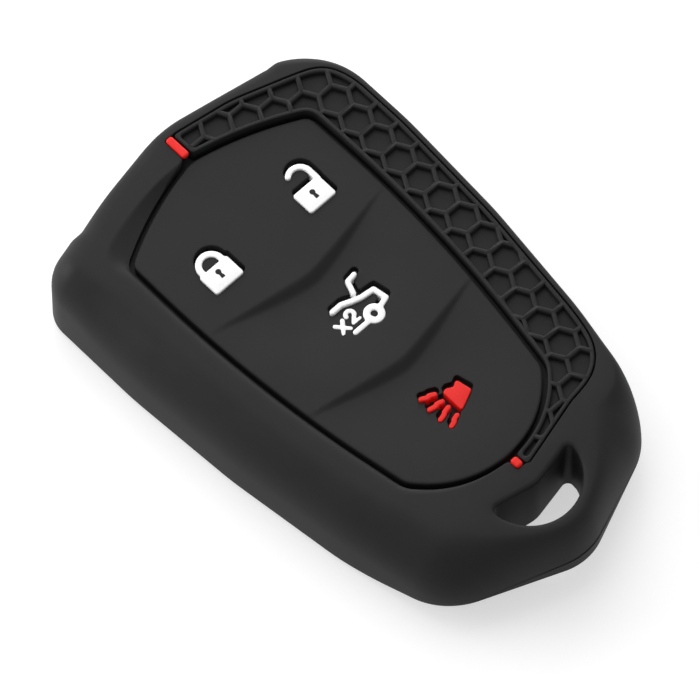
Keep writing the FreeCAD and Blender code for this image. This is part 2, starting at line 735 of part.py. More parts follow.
def make_cover():
    skin = make_cover_blank()
    room = make_fob_hollow()
    recess = prism("panel_recess", grown("panel_recess_line", panel_outline, "Size.groove_width/2"),
                   PANEL_BASE, ABOVE)
    opening = prism("panel_opening", grown("panel_opening_line", panel_outline, "-Size.ledge_width"),
                    CEILING_Z + " - Size.roof_thickness", PANEL_BASE + " + Size.roof_thickness")
    channel = strip_region("strip_channel", "(-Size.strip_gap)", STRIP_BASE, ABOVE)
    bar_slots = []
    for name, bar in (("upper_bar_slot", UPPER_BAR), ("lower_bar_slot", LOWER_BAR)):
        plan = rounded_sketch(name + "_plan", bar_plan(bar, "Size.bar_clearance"))
        bar_slots.append(prism(name, plan, STRIP_BASE, ABOVE))
    shell = cut("cover_shell", skin, room, recess, opening)
    trimmed = cut("cover_trimmed", shell, channel, make_chamfer(), *bar_slots)
    slotted = cut("cover_slotted", trimmed, make_slot())
    first_x = size(SLOT_CENTRE) - size("Size.slot_tip_radius")
    tail_x = size(TAIL_END) - size("Size.slot_setback")

    def slot_lip(edge):
        box = edge.BoundBox
        along = box.XMin > first_x and box.XMax < tail_x + 1e-3
        across = abs(edge.CenterOfMass.y) < size("Size.slot_radius")
        on_top = box.ZMin > size(CEILING_Z) and box.ZLength < size("Size.tail_drop")
        return (size("Size.slot_lip_bevel"),) * 2 if along and across and on_top else None

    return finished(rounded_edges("cover_lipped", slotted, slot_lip, "Part::Chamfer"), "cover_body")


# Buttons: raised icons on press pads under the panel

ROUND_END = "0.48"
PAD_TOP = PANEL_BASE + " - Size.pad_gap"
POCKET_LOW = PANEL_BASE + " - Size.panel_thickness"


def placed(origin, place):
    """Expressions for a place that is measured from the origin."""
    return tuple("%s + (%.3f)*Size.icon_grid" % pair for pair in zip(origin, place))


def capsule(name, origin, start, end, width, low, high):
    """A round ended stroke from start to end, which are measured from the origin."""
    run = FreeCAD.Vector(end[0] - start[0], end[1] - start[1], 0).normalize()
    side = FreeCAD.Vector(-run.y, run.x, 0)
    corners = []
    for point, along, across in ((start, -1, -1), (end, 1, -1), (end, 1, 1), (start, -1, 1)):
        reach = run * along + side * across
        x, y = placed(origin, point)
        x += " + (%.5f)*(%s)/2" % (reach.x, width)
        y += " + (%.5f)*(%s)/2" % (reach.y, width)
        corners.append((x, y, ROUND_END + "*(" + width + ")"))
    return prism(name, rounded_sketch(name + "_plan", corners), low, high)


def strokes(name, origin, points, width, low, high):
    """A bent line of round ended strokes through points."""
    runs = []
    for number, (start, end) in enumerate(zip(points, points[1:]), start=1):
        runs.append(capsule("%s_%d" % (name, number), origin, start, end, width, low, high))
    return runs


def disc(name, origin, place, radius, low, high):
    cylinder = doc.addObject("Part::Cylinder", name)
    bind(cylinder, "Radius", radius)
    bind(cylinder, "Height", "(" + high + ") - (" + low + ")")
    x, y = placed(origin, place)
    bind(cylinder, "Placement.Base.x", x)
    bind(cylinder, "Placement.Base.y", y)
    bind(cylinder, "Placement.Base.z", low)
    return cylinder


def padlock_body_plan(name, centre_y):
    half_length = "Size.padlock_length/2"
    half_width = "Size.padlock_width/2"
    return rounded_sketch(name, rectangle(
        PADLOCK_X + " - " + half_length, PADLOCK_X + " + " + half_length,
        centre_y + " - " + half_width, centre_y + " + " + half_width, "Size.padlock_corner"))


def arch_plan(name, centre_y, inset):
    """Outline of the closed shackle, drawn in by an inset."""
    foot_x = PADLOCK_X + " - Size.padlock_length/2"
    top_x = foot_x + " - Size.shackle_height + " + inset
    half_width = "(Size.shackle_width/2 - " + inset + ")"
    bend = "0.94*" + half_width
    low_y = centre_y + " - " + half_width
    high_y = centre_y + " + " + half_width
    root_x = foot_x + " + Size.padlock_corner" if inset == "0" else foot_x
    return rounded_sketch(name, [
        (root_x, low_y, None), (top_x, low_y, bend), (top_x, high_y, bend), (root_x, high_y, None)])


PADLOCK_TOP = PANEL_Z + " + Size.icon_raise"
OPEN_SHACKLE = ((-1.6, 1.6), (-3.3, 1.65), (-4.4, 1.1), (-4.75, 0.0), (-4.3, -0.75))


def make_lock_icon():
    centre_y = "-Size.padlock_y"
    body_plan = padlock_body_plan("lock_body_plan", centre_y)
    arch = arch_plan("lock_arch_plan", centre_y, "0")
    block = prism("lock_block", body_plan, PAD_TOP, PADLOCK_TOP)
    ring = prism("lock_arch", arch, PAD_TOP, PADLOCK_TOP)
    bore = prism("lock_bore", arch_plan("lock_bore_plan", centre_y, "Size.shackle_bar"), PAD_TOP, ABOVE)
    icon = finished(cut("lock_shape", fused("lock_outer", block, ring), bore), "lock_icon")
    pocket = fused("lock_pocket",
                   prism("lock_block_pocket", grown("lock_block_line", body_plan, "Size.pocket_gap"),
                         POCKET_LOW, ABOVE),
                   prism("lock_arch_pocket", grown("lock_arch_line", arch, "Size.pocket_gap"),
                         POCKET_LOW, ABOVE))
    return [icon], pocket


def make_unlock_icon():
    centre_y = "Size.padlock_y"
    origin = (PADLOCK_X, centre_y)
    body_plan = padlock_body_plan("unlock_body_plan", centre_y)
    block = prism("unlock_block", body_plan, PAD_TOP, PADLOCK_TOP)
    shackle = strokes("open_shackle", origin, OPEN_SHACKLE, "Size.shackle_bar", PAD_TOP, PADLOCK_TOP)
    icon = finished(fused("unlock_shape", block, *shackle), "unlock_icon")
    wide = "(Size.shackle_bar + 2*Size.pocket_gap)"
    wide_shackle = strokes("open_shackle_pocket", origin, OPEN_SHACKLE, wide, POCKET_LOW, ABOVE)
    block_pocket = prism("unlock_block_pocket", grown("unlock_block_line", body_plan, "Size.pocket_gap"),
                         POCKET_LOW, ABOVE)
    return [icon], fused("unlock_pocket", block_pocket, *wide_shackle)


# Lines of the boot release icon, from its centre: roof, raised lid and sill
CAR_LINES = (
    ((-1.5, -3.15), (-1.7, -1.35), (-1.15, 0.15), (-0.7, 1.15), (-0.45, 2.75), (1.4, 3.15), (2.0, 2.15)),
    ((-1.1, 0.3), (-1.75, 0.72), (-2.33, 1.15), (-3.55, 1.45), (-3.64, 2.55)),
    ((2.4, -3.15), (2.4, -0.85)),
)
WHEEL = (2.2, 0.45)
CAR_REAR = (0.6, 1.5)
BOOT_TOP = PADLOCK_TOP + " - " + panel_dip(BOOT_X, UPPER_STEP)


def car_shape(name, growth, low, high):
    origin = (BOOT_X, "Size.boot_icon_y")
    width = "(Size.line_width + 2*" + growth + ")"
    pieces = [disc(name + "_wheel", origin, WHEEL, "Size.wheel_radius + " + growth, low, high)]
    for number, points in enumerate(CAR_LINES, start=1):
        pieces.extend(strokes("%s_line_%d" % (name, number), origin, points, width, low, high))
    return fused(name, *pieces)


def make_boot_icon():
    car = car_shape("car", "0", PAD_TOP, BOOT_TOP)
    origin = (BOOT_X, "Size.boot_icon_y")
    bore = disc("wheel_bore", origin, WHEEL, "Size.wheel_bore_radius", PAD_TOP, ABOVE)
    icon = finished(cut("car_with_wheel", car, bore), "trunk_icon")
    pocket = car_shape("car_pocket", "Size.pocket_gap", POCKET_LOW, ABOVE)
    rear = disc("car_rear_pocket", origin, CAR_REAR, "Size.wheel_radius", POCKET_LOW, ABOVE)
    return [icon], fused("boot_pocket", pocket, rear)


# Alarm icon, from its centre: the horn's outline, the sound lines and the gap between them
HORN = ((-1.3, 2.8), (-1.05, 1.5), (-2.0, 0.42), (2.0, 0.42), (1.1, 1.5), (0.5, 2.8))
SOUND_LINES = (
    ((-2.8, -2.3), (-2.5, -0.6)),
    ((-1.2, -2.7), (-1.0, -0.7)),
    ((1.1, -2.8), (0.2, -0.7)),
    ((2.8, -2.6), (1.85, -0.55)),
)
SOUND_GAP = ((-1.8, -0.1), (1.8, -0.1))
ALARM_TOP = PADLOCK_TOP + " - " + panel_dip(ALARM_X, LOWER_STEP)


def make_alarm_icon():
    origin = (ALARM_X, "Size.alarm_icon_y")
    horn_corners = [placed(origin, corner) + ("Size.horn_corner",) for corner in HORN]
    horn_plan = rounded_sketch("horn_plan", horn_corners)
    icons = [finished(prism("horn", horn_plan, PAD_TOP, ALARM_TOP), "panic_horn_icon")]
    wide = "(Size.line_width + 2*Size.pocket_gap)"
    pockets = [
        prism("horn_pocket", grown("horn_line", horn_plan, "Size.pocket_gap"), POCKET_LOW, ABOVE),
        capsule("sound_gap_pocket", origin, *SOUND_GAP, "Size.line_width", POCKET_LOW, ABOVE),
    ]
    for number, (start, end) in enumerate(SOUND_LINES, start=1):
        line = capsule("sound_%d" % number, origin, start, end, "Size.line_width", PAD_TOP, ALARM_TOP)
        icons.append(finished(line, "panic_sound_line_%d" % number))
        pockets.append(capsule("sound_pocket_%d" % number, origin, start, end, wide, POCKET_LOW, ABOVE))
    return icons, fused("alarm_pocket", *pockets)


def make_press_pad(label, pocket):
    """Pad that closes the pocket from below, with a nub that meets the fob's own button."""
    doc.recompute()
    box = pocket.Shape.BoundBox
    body = doc.addObject("PartDesign::Body", label)
    plan = rounded_sketch(label + "_plan", rectangle(
        "%.4f - Size.pad_margin" % box.XMin, "%.4f + Size.pad_margin" % box.XMax,
        "%.4f - Size.pad_margin" % box.YMin, "%.4f + Size.pad_margin" % box.YMax),
        body, PAD_TOP + " - Size.pad_thickness")
    plate = body.newObject("PartDesign::Pad", label + "_plate")
    plate.Profile = plan
    bind(plate, "Length", "Size.pad_thickness")
    doc.recompute()
    nub_plan = body.newObject("Sketcher::SketchObject", label + "_nub_plan")
    planes = [f for f in body.Origin.OriginFeatures if f.Role == "XY_Plane"]
    nub_plan.AttachmentSupport = [(planes[0], "")]
    nub_plan.MapMode = "FlatFace"
    bind(nub_plan, "AttachmentOffset.Base.z", PAD_TOP + " - Size.pad_thickness")
    centre = FreeCAD.Vector(box.Center.x, box.Center.y, 0)
    ring = Part.Circle(centre, FreeCAD.Vector(0, 0, 1), size("Size.nub_radius"))
    circle = nub_plan.addGeometry(ring, False)
    number = nub_plan.addConstraint(Sketcher.Constraint("Radius", circle, size("Size.nub_radius")))
    bind(nub_plan, "Constraints[%d]" % number, "Size.nub_radius")
    nub = body.newObject("PartDesign::Pad", label + "_nub")
    nub.Profile = nub_plan
    nub.Reversed = True
    bind(nub, "Length", "Size.nub_height")
    return finished(body, label)


def make_buttons():
    pieces, pockets = [], []
    makers = (("lock", make_lock_icon), ("unlock", make_unlock_icon),
              ("trunk", make_boot_icon), ("panic", make_alarm_icon))
    for name, make_icon in makers:
        icons, pocket = make_icon()
        pieces.extend(icons)
        pieces.append(make_press_pad(name + "_press_pad", pocket))
        pockets.append(pocket)
    return pieces, pockets


def check(pieces):
    """Stop before anything is written if a feature failed or a piece is not sound."""
    for feature in doc.Objects:
        failed = {"Invalid", "Error"} & set(feature.State)
        if failed:
            raise RuntimeError("%s is %s" % (feature.Name, ", ".join(failed)))
    for piece in pieces:
        if piece.Shape.isNull() or not piece.Shape.isValid():
            raise RuntimeError(piece.Label + " has no valid shape")


def main():
    buttons, pockets = make_buttons()
    pieces = [
        make_cover(),
        make_button_panel(pockets),
        make_honeycomb_strip(),
        make_bar("upper_accent_bar", UPPER_BAR),
        make_bar("lower_accent_bar", LOWER_BAR),
    ] + buttons
    doc.recompute()
    check(pieces)
    os.makedirs("parts", exist_ok=True)
    for piece in pieces:
        piece.Shape.exportStep(os.path.join("parts", piece.Label + ".step"))
        box = piece.Shape.BoundBox
        print("%-18s %d solid(s) %9.2f mm3, z %.2f to %.2f" % (
            piece.Label, len(piece.Shape.Solids), piece.Shape.Volume, box.ZMin, box.ZMax))


main()
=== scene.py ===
# %% [markdown]
# # A silicone key fob cover
# The cover is a soft pillow of black silicone with an inset button panel, raised pictograms, a honeycomb
# grip strip and a slot for a key ring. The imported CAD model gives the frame: every node's place, the bodies
# and the joints. This lesson dresses that frame with smooth, softened pieces in the same place and size.
# Lengths are in millimetres until a mesh is made, which is in metres.

# %% Load the frame
import math

import bmesh
import bpy
import numpy as np
from mathutils import Matrix, Vector, geometry


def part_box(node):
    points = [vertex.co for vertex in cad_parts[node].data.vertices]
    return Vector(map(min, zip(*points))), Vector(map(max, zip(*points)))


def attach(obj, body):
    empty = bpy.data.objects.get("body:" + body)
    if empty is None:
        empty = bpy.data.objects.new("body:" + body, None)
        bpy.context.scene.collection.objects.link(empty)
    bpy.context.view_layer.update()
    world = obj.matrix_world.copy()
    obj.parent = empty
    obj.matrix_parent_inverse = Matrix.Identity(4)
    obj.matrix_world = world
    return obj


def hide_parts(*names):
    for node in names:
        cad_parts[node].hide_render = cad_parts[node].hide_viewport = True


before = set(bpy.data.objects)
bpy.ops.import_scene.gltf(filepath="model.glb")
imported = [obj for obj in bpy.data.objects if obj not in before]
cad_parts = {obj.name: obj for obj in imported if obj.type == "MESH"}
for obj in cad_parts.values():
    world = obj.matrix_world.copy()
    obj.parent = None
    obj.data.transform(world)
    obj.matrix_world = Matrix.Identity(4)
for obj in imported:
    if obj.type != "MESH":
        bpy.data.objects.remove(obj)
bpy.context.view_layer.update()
MM = 0.001

# %% [markdown]
# ## Silicone
# Moulded silicone is matte, with a faint grain from the sandblasted mould and a slightly uneven sheen where
# hands have touched it. A flat colour would look like paper. Two noise textures on Object coordinates give a
# slow drift of colour and roughness and a grain of a few hundredths of a millimetre as bump, so that the
# three colours of silicone share one recipe.

# %% Silicone
DRIFT_SCALE, DRIFT_DETAIL = 160.0, 3.0
GRAIN_SCALE, GRAIN_DETAIL = 9000.0, 2.0
GRAIN_HEIGHT = 0.02 * MM
TINT_FROM, TINT_TO = 0.3, 0.7
ROUGHNESS_DRIFT = 0.04


def noise(material, place, scale, detail):
    """A noise texture on the piece's own coordinates."""
    texture = material.node_tree.nodes.new("ShaderNodeTexNoise")
    texture.inputs["Scale"].default_value = scale
    texture.inputs["Detail"].default_value = detail
    material.node_tree.links.new(place.outputs["Object"], texture.inputs["Vector"])
    return texture.outputs["Fac"]


def silicone(name, dark, light, roughness, grain, sheen):
    """A moulded silicone between two close colours, with a fine grain."""
    material = bpy.data.materials.new(name)
    material.use_nodes = True
    nodes, links = material.node_tree.nodes, material.node_tree.links
    shader = nodes["Principled BSDF"]
    shader.inputs["Specular IOR Level"].default_value = sheen
    place = nodes.new("ShaderNodeTexCoord")
    drift = noise(material, place, DRIFT_SCALE, DRIFT_DETAIL)
    tint = nodes.new("ShaderNodeValToRGB")
    for element, position, colour in zip(tint.color_ramp.elements, (TINT_FROM, TINT_TO), (dark, light)):
        element.position = position
        element.color = colour + (1.0,)
    links.new(drift, tint.inputs["Fac"])
    links.new(tint.outputs["Color"], shader.inputs["Base Color"])
    gloss = nodes.new("ShaderNodeMapRange")
    gloss.inputs["To Min"].default_value = roughness - ROUGHNESS_DRIFT
    gloss.inputs["To Max"].default_value = roughness + ROUGHNESS_DRIFT
    links.new(drift, gloss.inputs["Value"])
    links.new(gloss.outputs["Result"], shader.inputs["Roughness"])
    bump = nodes.new("ShaderNodeBump")
    bump.inputs["Strength"].default_value = grain
    bump.inputs["Distance"].default_value = GRAIN_HEIGHT
    links.new(noise(material, place, GRAIN_SCALE, GRAIN_DETAIL), bump.inputs["Height"])
    links.new(bump.outputs["Normal"], shader.inputs["Normal"])
    return material


black_silicone = silicone("black_silicone", (0.0115, 0.0115, 0.0119), (0.0147, 0.0147, 0.0151),
                          roughness=0.58, grain=0.25, sheen=0.16)
red_silicone = silicone("red_silicone", (0.76, 0.012, 0.009), (0.82, 0.017, 0.012),
                        roughness=0.5, grain=0.15, sheen=0.25)
white_silicone = silicone("white_silicone", (0.93, 0.93, 0.93), (0.96, 0.96, 0.96),
                          roughness=0.5, grain=0.12, sheen=0.4)
print("materials: black, red and white silicone")

# %% [markdown]
# ## Outlines
# Nearly every piece here follows an outline seen from above: straight runs with a round corner between them.
# A curve object could hold it, but plain points are easier to measure and to offset: a rounded edge is then
# a few copies of the outline, each drawn in a little and set a little lower.

# %% Outlines with round corners
OUTLINE_STEP, TURN_STEP = 0.45, 0.16
SAME_PLACE = 1e-6


def unit(vector):
    return vector / np.linalg.norm(vector)


def area(loop):
    """The area inside an outline, less than zero where it runs clockwise."""
    x, y = loop[:, 0], loop[:, 1]
    return 0.5 * float(np.sum(x * np.roll(y, -1) - np.roll(x, -1) * y))


def corner_arc(before, here, after, radius, step):
    """Points on the arc that rounds one corner."""
    back = unit(before - here)
    ahead = unit(after - here)
    half_angle = math.acos(np.clip(back @ ahead, -1, 1)) / 2
    centre = here + unit(back + ahead) * radius / math.sin(half_angle)
    start = here + back * radius / math.tan(half_angle) - centre
    turn = math.pi - 2 * half_angle
    turn *= math.copysign(1, ahead[1] * back[0] - ahead[0] * back[1]) * -1
    count = max(3, math.ceil(abs(turn) * radius / step), math.ceil(abs(turn) / TURN_STEP))
    points = []
    for k in range(count + 1):
        angle = turn * k / count
        spin = np.array([[math.cos(angle), -math.sin(angle)], [math.sin(angle), math.cos(angle)]])
        points.append(centre + spin @ start)
    return points


def rounded_loop(corners, step=OUTLINE_STEP):
    """Points round a closed outline, anticlockwise from above; a corner is (x, y, radius)."""
    places = [np.array(corner[:2], dtype=float) for corner in corners]
    rough = []
    for i, corner in enumerate(corners):
        if corner[2] == 0:
            rough.append(places[i])
        else:
            rough += corner_arc(places[i - 1], places[i], places[(i + 1) % len(places)], corner[2], step)
    loop = []
    for i, here in enumerate(rough):
        after = rough[(i + 1) % len(rough)]
        pieces = max(1, math.ceil(np.linalg.norm(after - here) / step))
        if np.linalg.norm(after - here) > SAME_PLACE:
            loop.extend(here + (after - here) * k / pieces for k in range(pieces))
    loop = np.array(loop)
    return loop if area(loop) > 0 else loop[::-1].copy()


trial = rounded_loop([(0, 0, 2), (10, 0, 2), (10, 10, 2), (0, 10, 2)])
print("a 10 mm square with 2 mm corners: %d points, %.1f square mm" % (len(trial), area(trial)))

# %% Outlines moved, lifted and compared
SHARPEST = 0.6
BATCH = 2000


def moved(loop, distance):
    """The outline with each point moved outwards; a sharp corner keeps its corner."""
    before = loop - np.roll(loop, 1, axis=0)
    after = np.roll(loop, -1, axis=0) - loop
    before /= np.linalg.norm(before, axis=1)[:, None]
    after /= np.linalg.norm(after, axis=1)[:, None]
    out_before = np.stack([before[:, 1], -before[:, 0]], axis=1)
    out_after = np.stack([after[:, 1], -after[:, 0]], axis=1)
    out = out_before + out_after
    out /= np.maximum(np.linalg.norm(out, axis=1), 1e-9)[:, None]
    stretch = 1 / np.maximum(np.sum(out * out_after, axis=1), SHARPEST)
    return loop + out * (stretch * distance)[:, None]


def lifted(loop, height):
    """The outline as points in space, at a height or at a height for each point."""
    return np.column_stack([loop, np.broadcast_to(height, len(loop))])


def smooth_step(low, high, value):
    """From 0 at low to 1 at high with a soft start and end; low may be the larger one."""
    t = np.clip((value - low) / (high - low), 0, 1)
    return t * t * (3 - 2 * t)


def inside(loops, places):
    """Whether each place is inside an odd number of the loops."""
    odd = np.zeros(len(places), dtype=bool)
    for loop in loops:
        x0, y0 = loop[:, 0], loop[:, 1]
        x1, y1 = np.roll(x0, -1), np.roll(y0, -1)
        rise = np.where(y1 == y0, 1e-12, y1 - y0)
        for start in range(0, len(places), BATCH):
            px = places[start:start + BATCH, 0][:, None]
            py = places[start:start + BATCH, 1][:, None]
            crosses = ((y0 > py) != (y1 > py)) & (px < x0 + (py - y0) * (x1 - x0) / rise)
            odd[start:start + BATCH] ^= np.count_nonzero(crosses, axis=1) % 2 == 1
    return odd


def nearest(places, others):
    """Distance from each place to the nearest of the others."""
    result = np.empty(len(places))
    for start in range(0, len(places), BATCH):
        gap = places[start:start + BATCH, None, :] - others[None, :, :]
        result[start:start + BATCH] = np.sqrt((gap ** 2).sum(axis=2)).min(axis=1)
    return result


print("the same square moved out by 1 mm: %.1f square mm" % area(moved(trial, 1.0)))

# %% [markdown]
# ## Skins
# A closed skin is a walk over rings of points: from the window in the back out along the underside, up the
# wall, in over the top, and down into the hollow. Two neighbouring rings are joined by a band of four sided
# faces, and a flat part with holes in it is filled with triangles. Keeping the walk in one direction keeps
# every face pointing outwards.

# %% Finished meshes
MERGE, DEGENERATE = 0.0005 * MM, 0.0002 * MM
SHARP_ANGLE = 40


def finished(name, mesh, material, sharp=SHARP_ANGLE):
    """A piece with doubled points merged, smooth shading and one material."""
    work = bmesh.new()
    work.from_mesh(mesh)
    bmesh.ops.remove_doubles(work, verts=work.verts, dist=MERGE)
    bmesh.ops.dissolve_degenerate(work, edges=work.edges, dist=DEGENERATE)
    loose = [vert for vert in work.verts if not vert.link_faces]
    bmesh.ops.delete(work, geom=loose, context="VERTS")
    open_edges = sum(1 for edge in work.edges if len(edge.link_faces) != 2)
    work.to_mesh(mesh)
    work.free()
    mesh.shade_smooth()
    mesh.set_sharp_from_angle(angle=math.radians(sharp))
    mesh.materials.clear()
    mesh.materials.append(material)
    piece = bpy.data.objects.new(name, mesh)
    bpy.context.collection.objects.link(piece)
    print("%s: %d faces, %d open edges" % (name, len(mesh.polygons), open_edges))
    return piece


# %% Triangles inside a border
def enclosed(triangles, borders):
    """The triangles that lie an odd number of borders in from the outside."""
    beside_edge = {}
    for t, corners in enumerate(triangles):
        for k in range(3):
            beside_edge.setdefault(frozenset((corners[k - 1], corners[k])), []).append(t)
    odd = {}
    for edge, both in beside_edge.items():
        if len(both) == 1:
            odd[both[0]] = edge in borders
    queue = list(odd)
    for t in queue:
        corners = triangles[t]
        for k in range(3):
            edge = frozenset((corners[k - 1], corners[k]))
            for other in beside_edge[edge]:
                if other not in odd:
                    odd[other] = odd[t] != (edge in borders)
                    queue.append(other)
    return [corners for t, corners in enumerate(triangles) if odd[t]]


square_sides = {frozenset(side) for side in ((0, 1), (1, 2), (2, 3), (3, 0))}
kept = enclosed([(0, 1, 2), (0, 2, 3)], square_sides)
print("triangles kept inside a square:", len(kept))

# %% Skin, ring by ring
GRID_CLEAR, TRIANGLE_PRECISION = 0.6, 1e-7


class Skin:
    """Points in millimetres and faces, gathered ring by ring."""

    def __init__(self):
        self.points = []
        self.faces = []

    def ring(self, places):
        """Adds points and gives their numbers."""
        first = len(self.points)
        self.points.extend(map(tuple, places))
        return list(range(first, len(self.points)))

    def bridge(self, ring, following):
        """Joins two rings by a band of faces."""
        count = len(ring)
        for i in range(count):
            j = (i + 1) % count
            self.faces.append((ring[i], ring[j], following[j], following[i]))
        return following

    def fill(self, outer, holes, up, height=None, grid=0.0):
        """Triangles between an outer ring and holes, with extra points on a grid if a height is given."""
        rings = [outer] + holes
        numbers = [i for ring in rings for i in ring]
        loops = [np.array([self.points[i][:2] for i in ring]) for ring in rings]
        edges = []
        first = 0
        for ring in rings:
            edges.extend((first + k, first + (k + 1) % len(ring)) for k in range(len(ring)))
            first += len(ring)
        flat = np.vstack(loops)
        if grid > 0:
            low, high = flat.min(axis=0), flat.max(axis=0)
            xs, ys = np.meshgrid(np.arange(low[0], high[0], grid), np.arange(low[1], high[1], grid))
            extra = np.column_stack([xs.ravel(), ys.ravel()])
            extra = extra[inside(loops, extra)]
            extra = extra[nearest(extra, flat) > GRID_CLEAR * grid]
            numbers += self.ring(lifted(extra, height(extra[:, 0], extra[:, 1])))
            flat = np.vstack([flat, extra])
        places = [Vector(place) for place in flat]
        result = geometry.delaunay_2d_cdt(places, edges, [], 0, TRIANGLE_PRECISION)
        sides, triangles, sources, made_from = result[1:5]
        borders = {frozenset(side) for side, origin in zip(sides, made_from) if origin}
        for triangle in enclosed(triangles, borders):
            face = tuple(numbers[sources[i][0]] for i in triangle)
            self.faces.append(face if up else face[::-1])

    def finish(self, name, material, sharp=SHARP_ANGLE):
        """The skin as a mesh object in metres."""
        mesh = bpy.data.meshes.new(name)
        mesh.from_pydata([tuple(c * MM for c in point) for point in self.points], [], self.faces)
        return finished(name, mesh, material, sharp)


def quarter_round(count):
    """Steps up a soft edge, as shares of its size: how far in it is, and how far below the top."""
    return [(1 - math.cos(turn), 1 - math.sin(turn)) for turn in np.linspace(0, math.pi / 2, count)]


print("a soft edge in 3 steps:", ["%.2f in, %.2f down" % step for step in quarter_round(3)])

# %% [markdown]
# ## The cover's own lines
# The sizes are the CAD model's. The outline has a wide end with a low roof, two gently bowed sides and a tail
# that ends in a blunt point. The panel inside it has a roof, bowed sides and a bowed foot. Curves drawn by
# hand would not fit the CAD pieces beside them, so the outlines are made from the same sizes. The height
# falls a little towards the tail, and the underside sweeps up there.

# %% Heights
LENGTH = 79.2
WIDE_END, TAIL_END = -LENGTH / 2, LENGTH / 2
WIDE_PART_X = -20
COVER_Z, TOP_FALL = 14.2, 0.5
DROP_START, TAIL_DROP, DROP_LENGTH, DROP_BLEND = TAIL_END - 12.1, 0.9, 12.1, 2.5
RISE_START, TAIL_RISE, RISE_LENGTH, RISE_BLEND = TAIL_END - 19.6, 5.5, 19.6, 3.8
PANEL_Z, PANEL_BASE, CEILING_Z = 13.4, 11.8, 10.6


def bent(x, start, blend):
    """A straight line that starts at a place, with a soft bend as long as twice the blend."""
    t = np.clip((x - start + blend) / (2 * blend), 0, 1)
    return np.where(x > start + blend, x - start, blend * t * t)


def top_z(x):
    slope = TOP_FALL / (DROP_START - WIDE_END)
    steeper = TAIL_DROP / DROP_LENGTH - slope
    return COVER_Z - slope * (x - WIDE_END) - steeper * bent(x, DROP_START, DROP_BLEND)


def under_z(x):
    return TAIL_RISE / RISE_LENGTH * bent(x, RISE_START, RISE_BLEND)


print("top: %.1f mm at the wide end, %.1f mm at the tail" % (top_z(WIDE_END), top_z(TAIL_END)))

# %% The cover's outline
ROOF_ANGLE, APEX_RADIUS = math.radians(10.7), 20.0
TAIL_ANGLE, TAIL_RADIUS = math.radians(22.0), 8.4
SHOULDER_Y, TAIL_CORNER_Y = 24.65, 18.3
PLAIN_SHOULDER, STRIP_SHOULDER, TAIL_CORNER_RADIUS = 4.8, 11.0, 9.7
SIDE_BOW, SIDE_RADIUS = 2.26, 60.0
SIDE_BOWS = ((0.25, 0.75), (0.5, 1.0), (0.75, 0.75))
END_RECESS, END_RECESS_FADE, END_RECESS_X = 0.49, (18.6, 16.4), -25


def beside(start, end, share, distance):
    """A place some share of the way from start to end, and a distance to the left of that line."""
    start, end = np.array(start), np.array(end)
    run = unit(end - start)
    return tuple(start + (end - start) * share + np.array([-run[1], run[0]]) * distance)


def mirrored(half):
    """Corners of a shape that is the same on both sides of the X axis."""
    return half + [(x, -y, radius) for x, y, radius in half if y != 0][::-1]


roof_x = WIDE_END - END_RECESS - APEX_RADIUS * (1 / math.cos(ROOF_ANGLE) - 1)
tail_x = TAIL_END + TAIL_RADIUS * (1 / math.cos(TAIL_ANGLE) - 1)
shoulder = (roof_x + SHOULDER_Y * math.tan(ROOF_ANGLE), SHOULDER_Y)
tail_corner = (tail_x - TAIL_CORNER_Y * math.tan(TAIL_ANGLE), TAIL_CORNER_Y)
side = [beside(shoulder, tail_corner, share, bow * SIDE_BOW) + (SIDE_RADIUS,) for share, bow in SIDE_BOWS]
outline_corners = mirrored([(roof_x, 0, APEX_RADIUS), shoulder + (STRIP_SHOULDER,)] + side +
                           [tail_corner + (TAIL_CORNER_RADIUS,), (tail_x, 0, TAIL_RADIUS)])
outline_corners[-1] = outline_corners[-1][:2] + (PLAIN_SHOULDER,)
plain_line = rounded_loop(outline_corners)
at_x, at_y = plain_line.T
end_recess = END_RECESS * smooth_step(*END_RECESS_FADE, np.abs(at_y)) * (at_x < END_RECESS_X)


def cover_line(inset):
    """The cover's outline with its shallow recess at the wide end, drawn in by an inset."""
    return moved(plain_line, -(end_recess + inset))


print("cover outline: %d points" % len(plain_line))

# %% The panel's outline
PANEL_APEX, PANEL_FOOT = WIDE_END + 5.63, TAIL_END - 14.12
GROOVE = 0.7
BOW_SHARE = 0.76
panel_shoulder = (PANEL_APEX + 5.94, 16.07)
panel_corner = (PANEL_FOOT - 6.38, 12.38)
ROOF_CROWN, SIDE_CROWN, FOOT_CROWN = 1.12, 2.22, 2.64
PANEL_RADII = {"apex": 6.0, "shoulder": 2.0, "corner": 3.5, "foot": 10.0}


def bowed(start, end, crown):
    """The corner of a bowed edge, with the radius that keeps most of the edge curved."""
    half = math.dist(start, end) / 2
    radius = BOW_SHARE * math.hypot(half, crown) / math.tan(math.atan2(crown, half))
    return beside(start, end, 0.5, crown) + (radius,)


panel_line = rounded_loop(mirrored([
    (PANEL_APEX, 0, PANEL_RADII["apex"]),
    bowed((PANEL_APEX, 0), panel_shoulder, ROOF_CROWN),
    panel_shoulder + (PANEL_RADII["shoulder"],),
    bowed(panel_shoulder, panel_corner, SIDE_CROWN),
    panel_corner + (PANEL_RADII["corner"],),
    bowed(panel_corner, (PANEL_FOOT, 0), FOOT_CROWN),
    (PANEL_FOOT, 0, PANEL_RADII["foot"])]))
print("panel outline: %d points" % len(panel_line))

# %% [markdown]
# ## The strip's outline
# The honeycomb strip runs between the panel's groove and the cover's rim. Its outline is read from the
# underside of the CAD strip, so that the two agree. On the real cover its outer corners are rounder, so the
# points near those corners are drawn towards their neighbours, a little at a time.

# %% The strip's outline in the CAD model
FLAT = 0.001 * MM


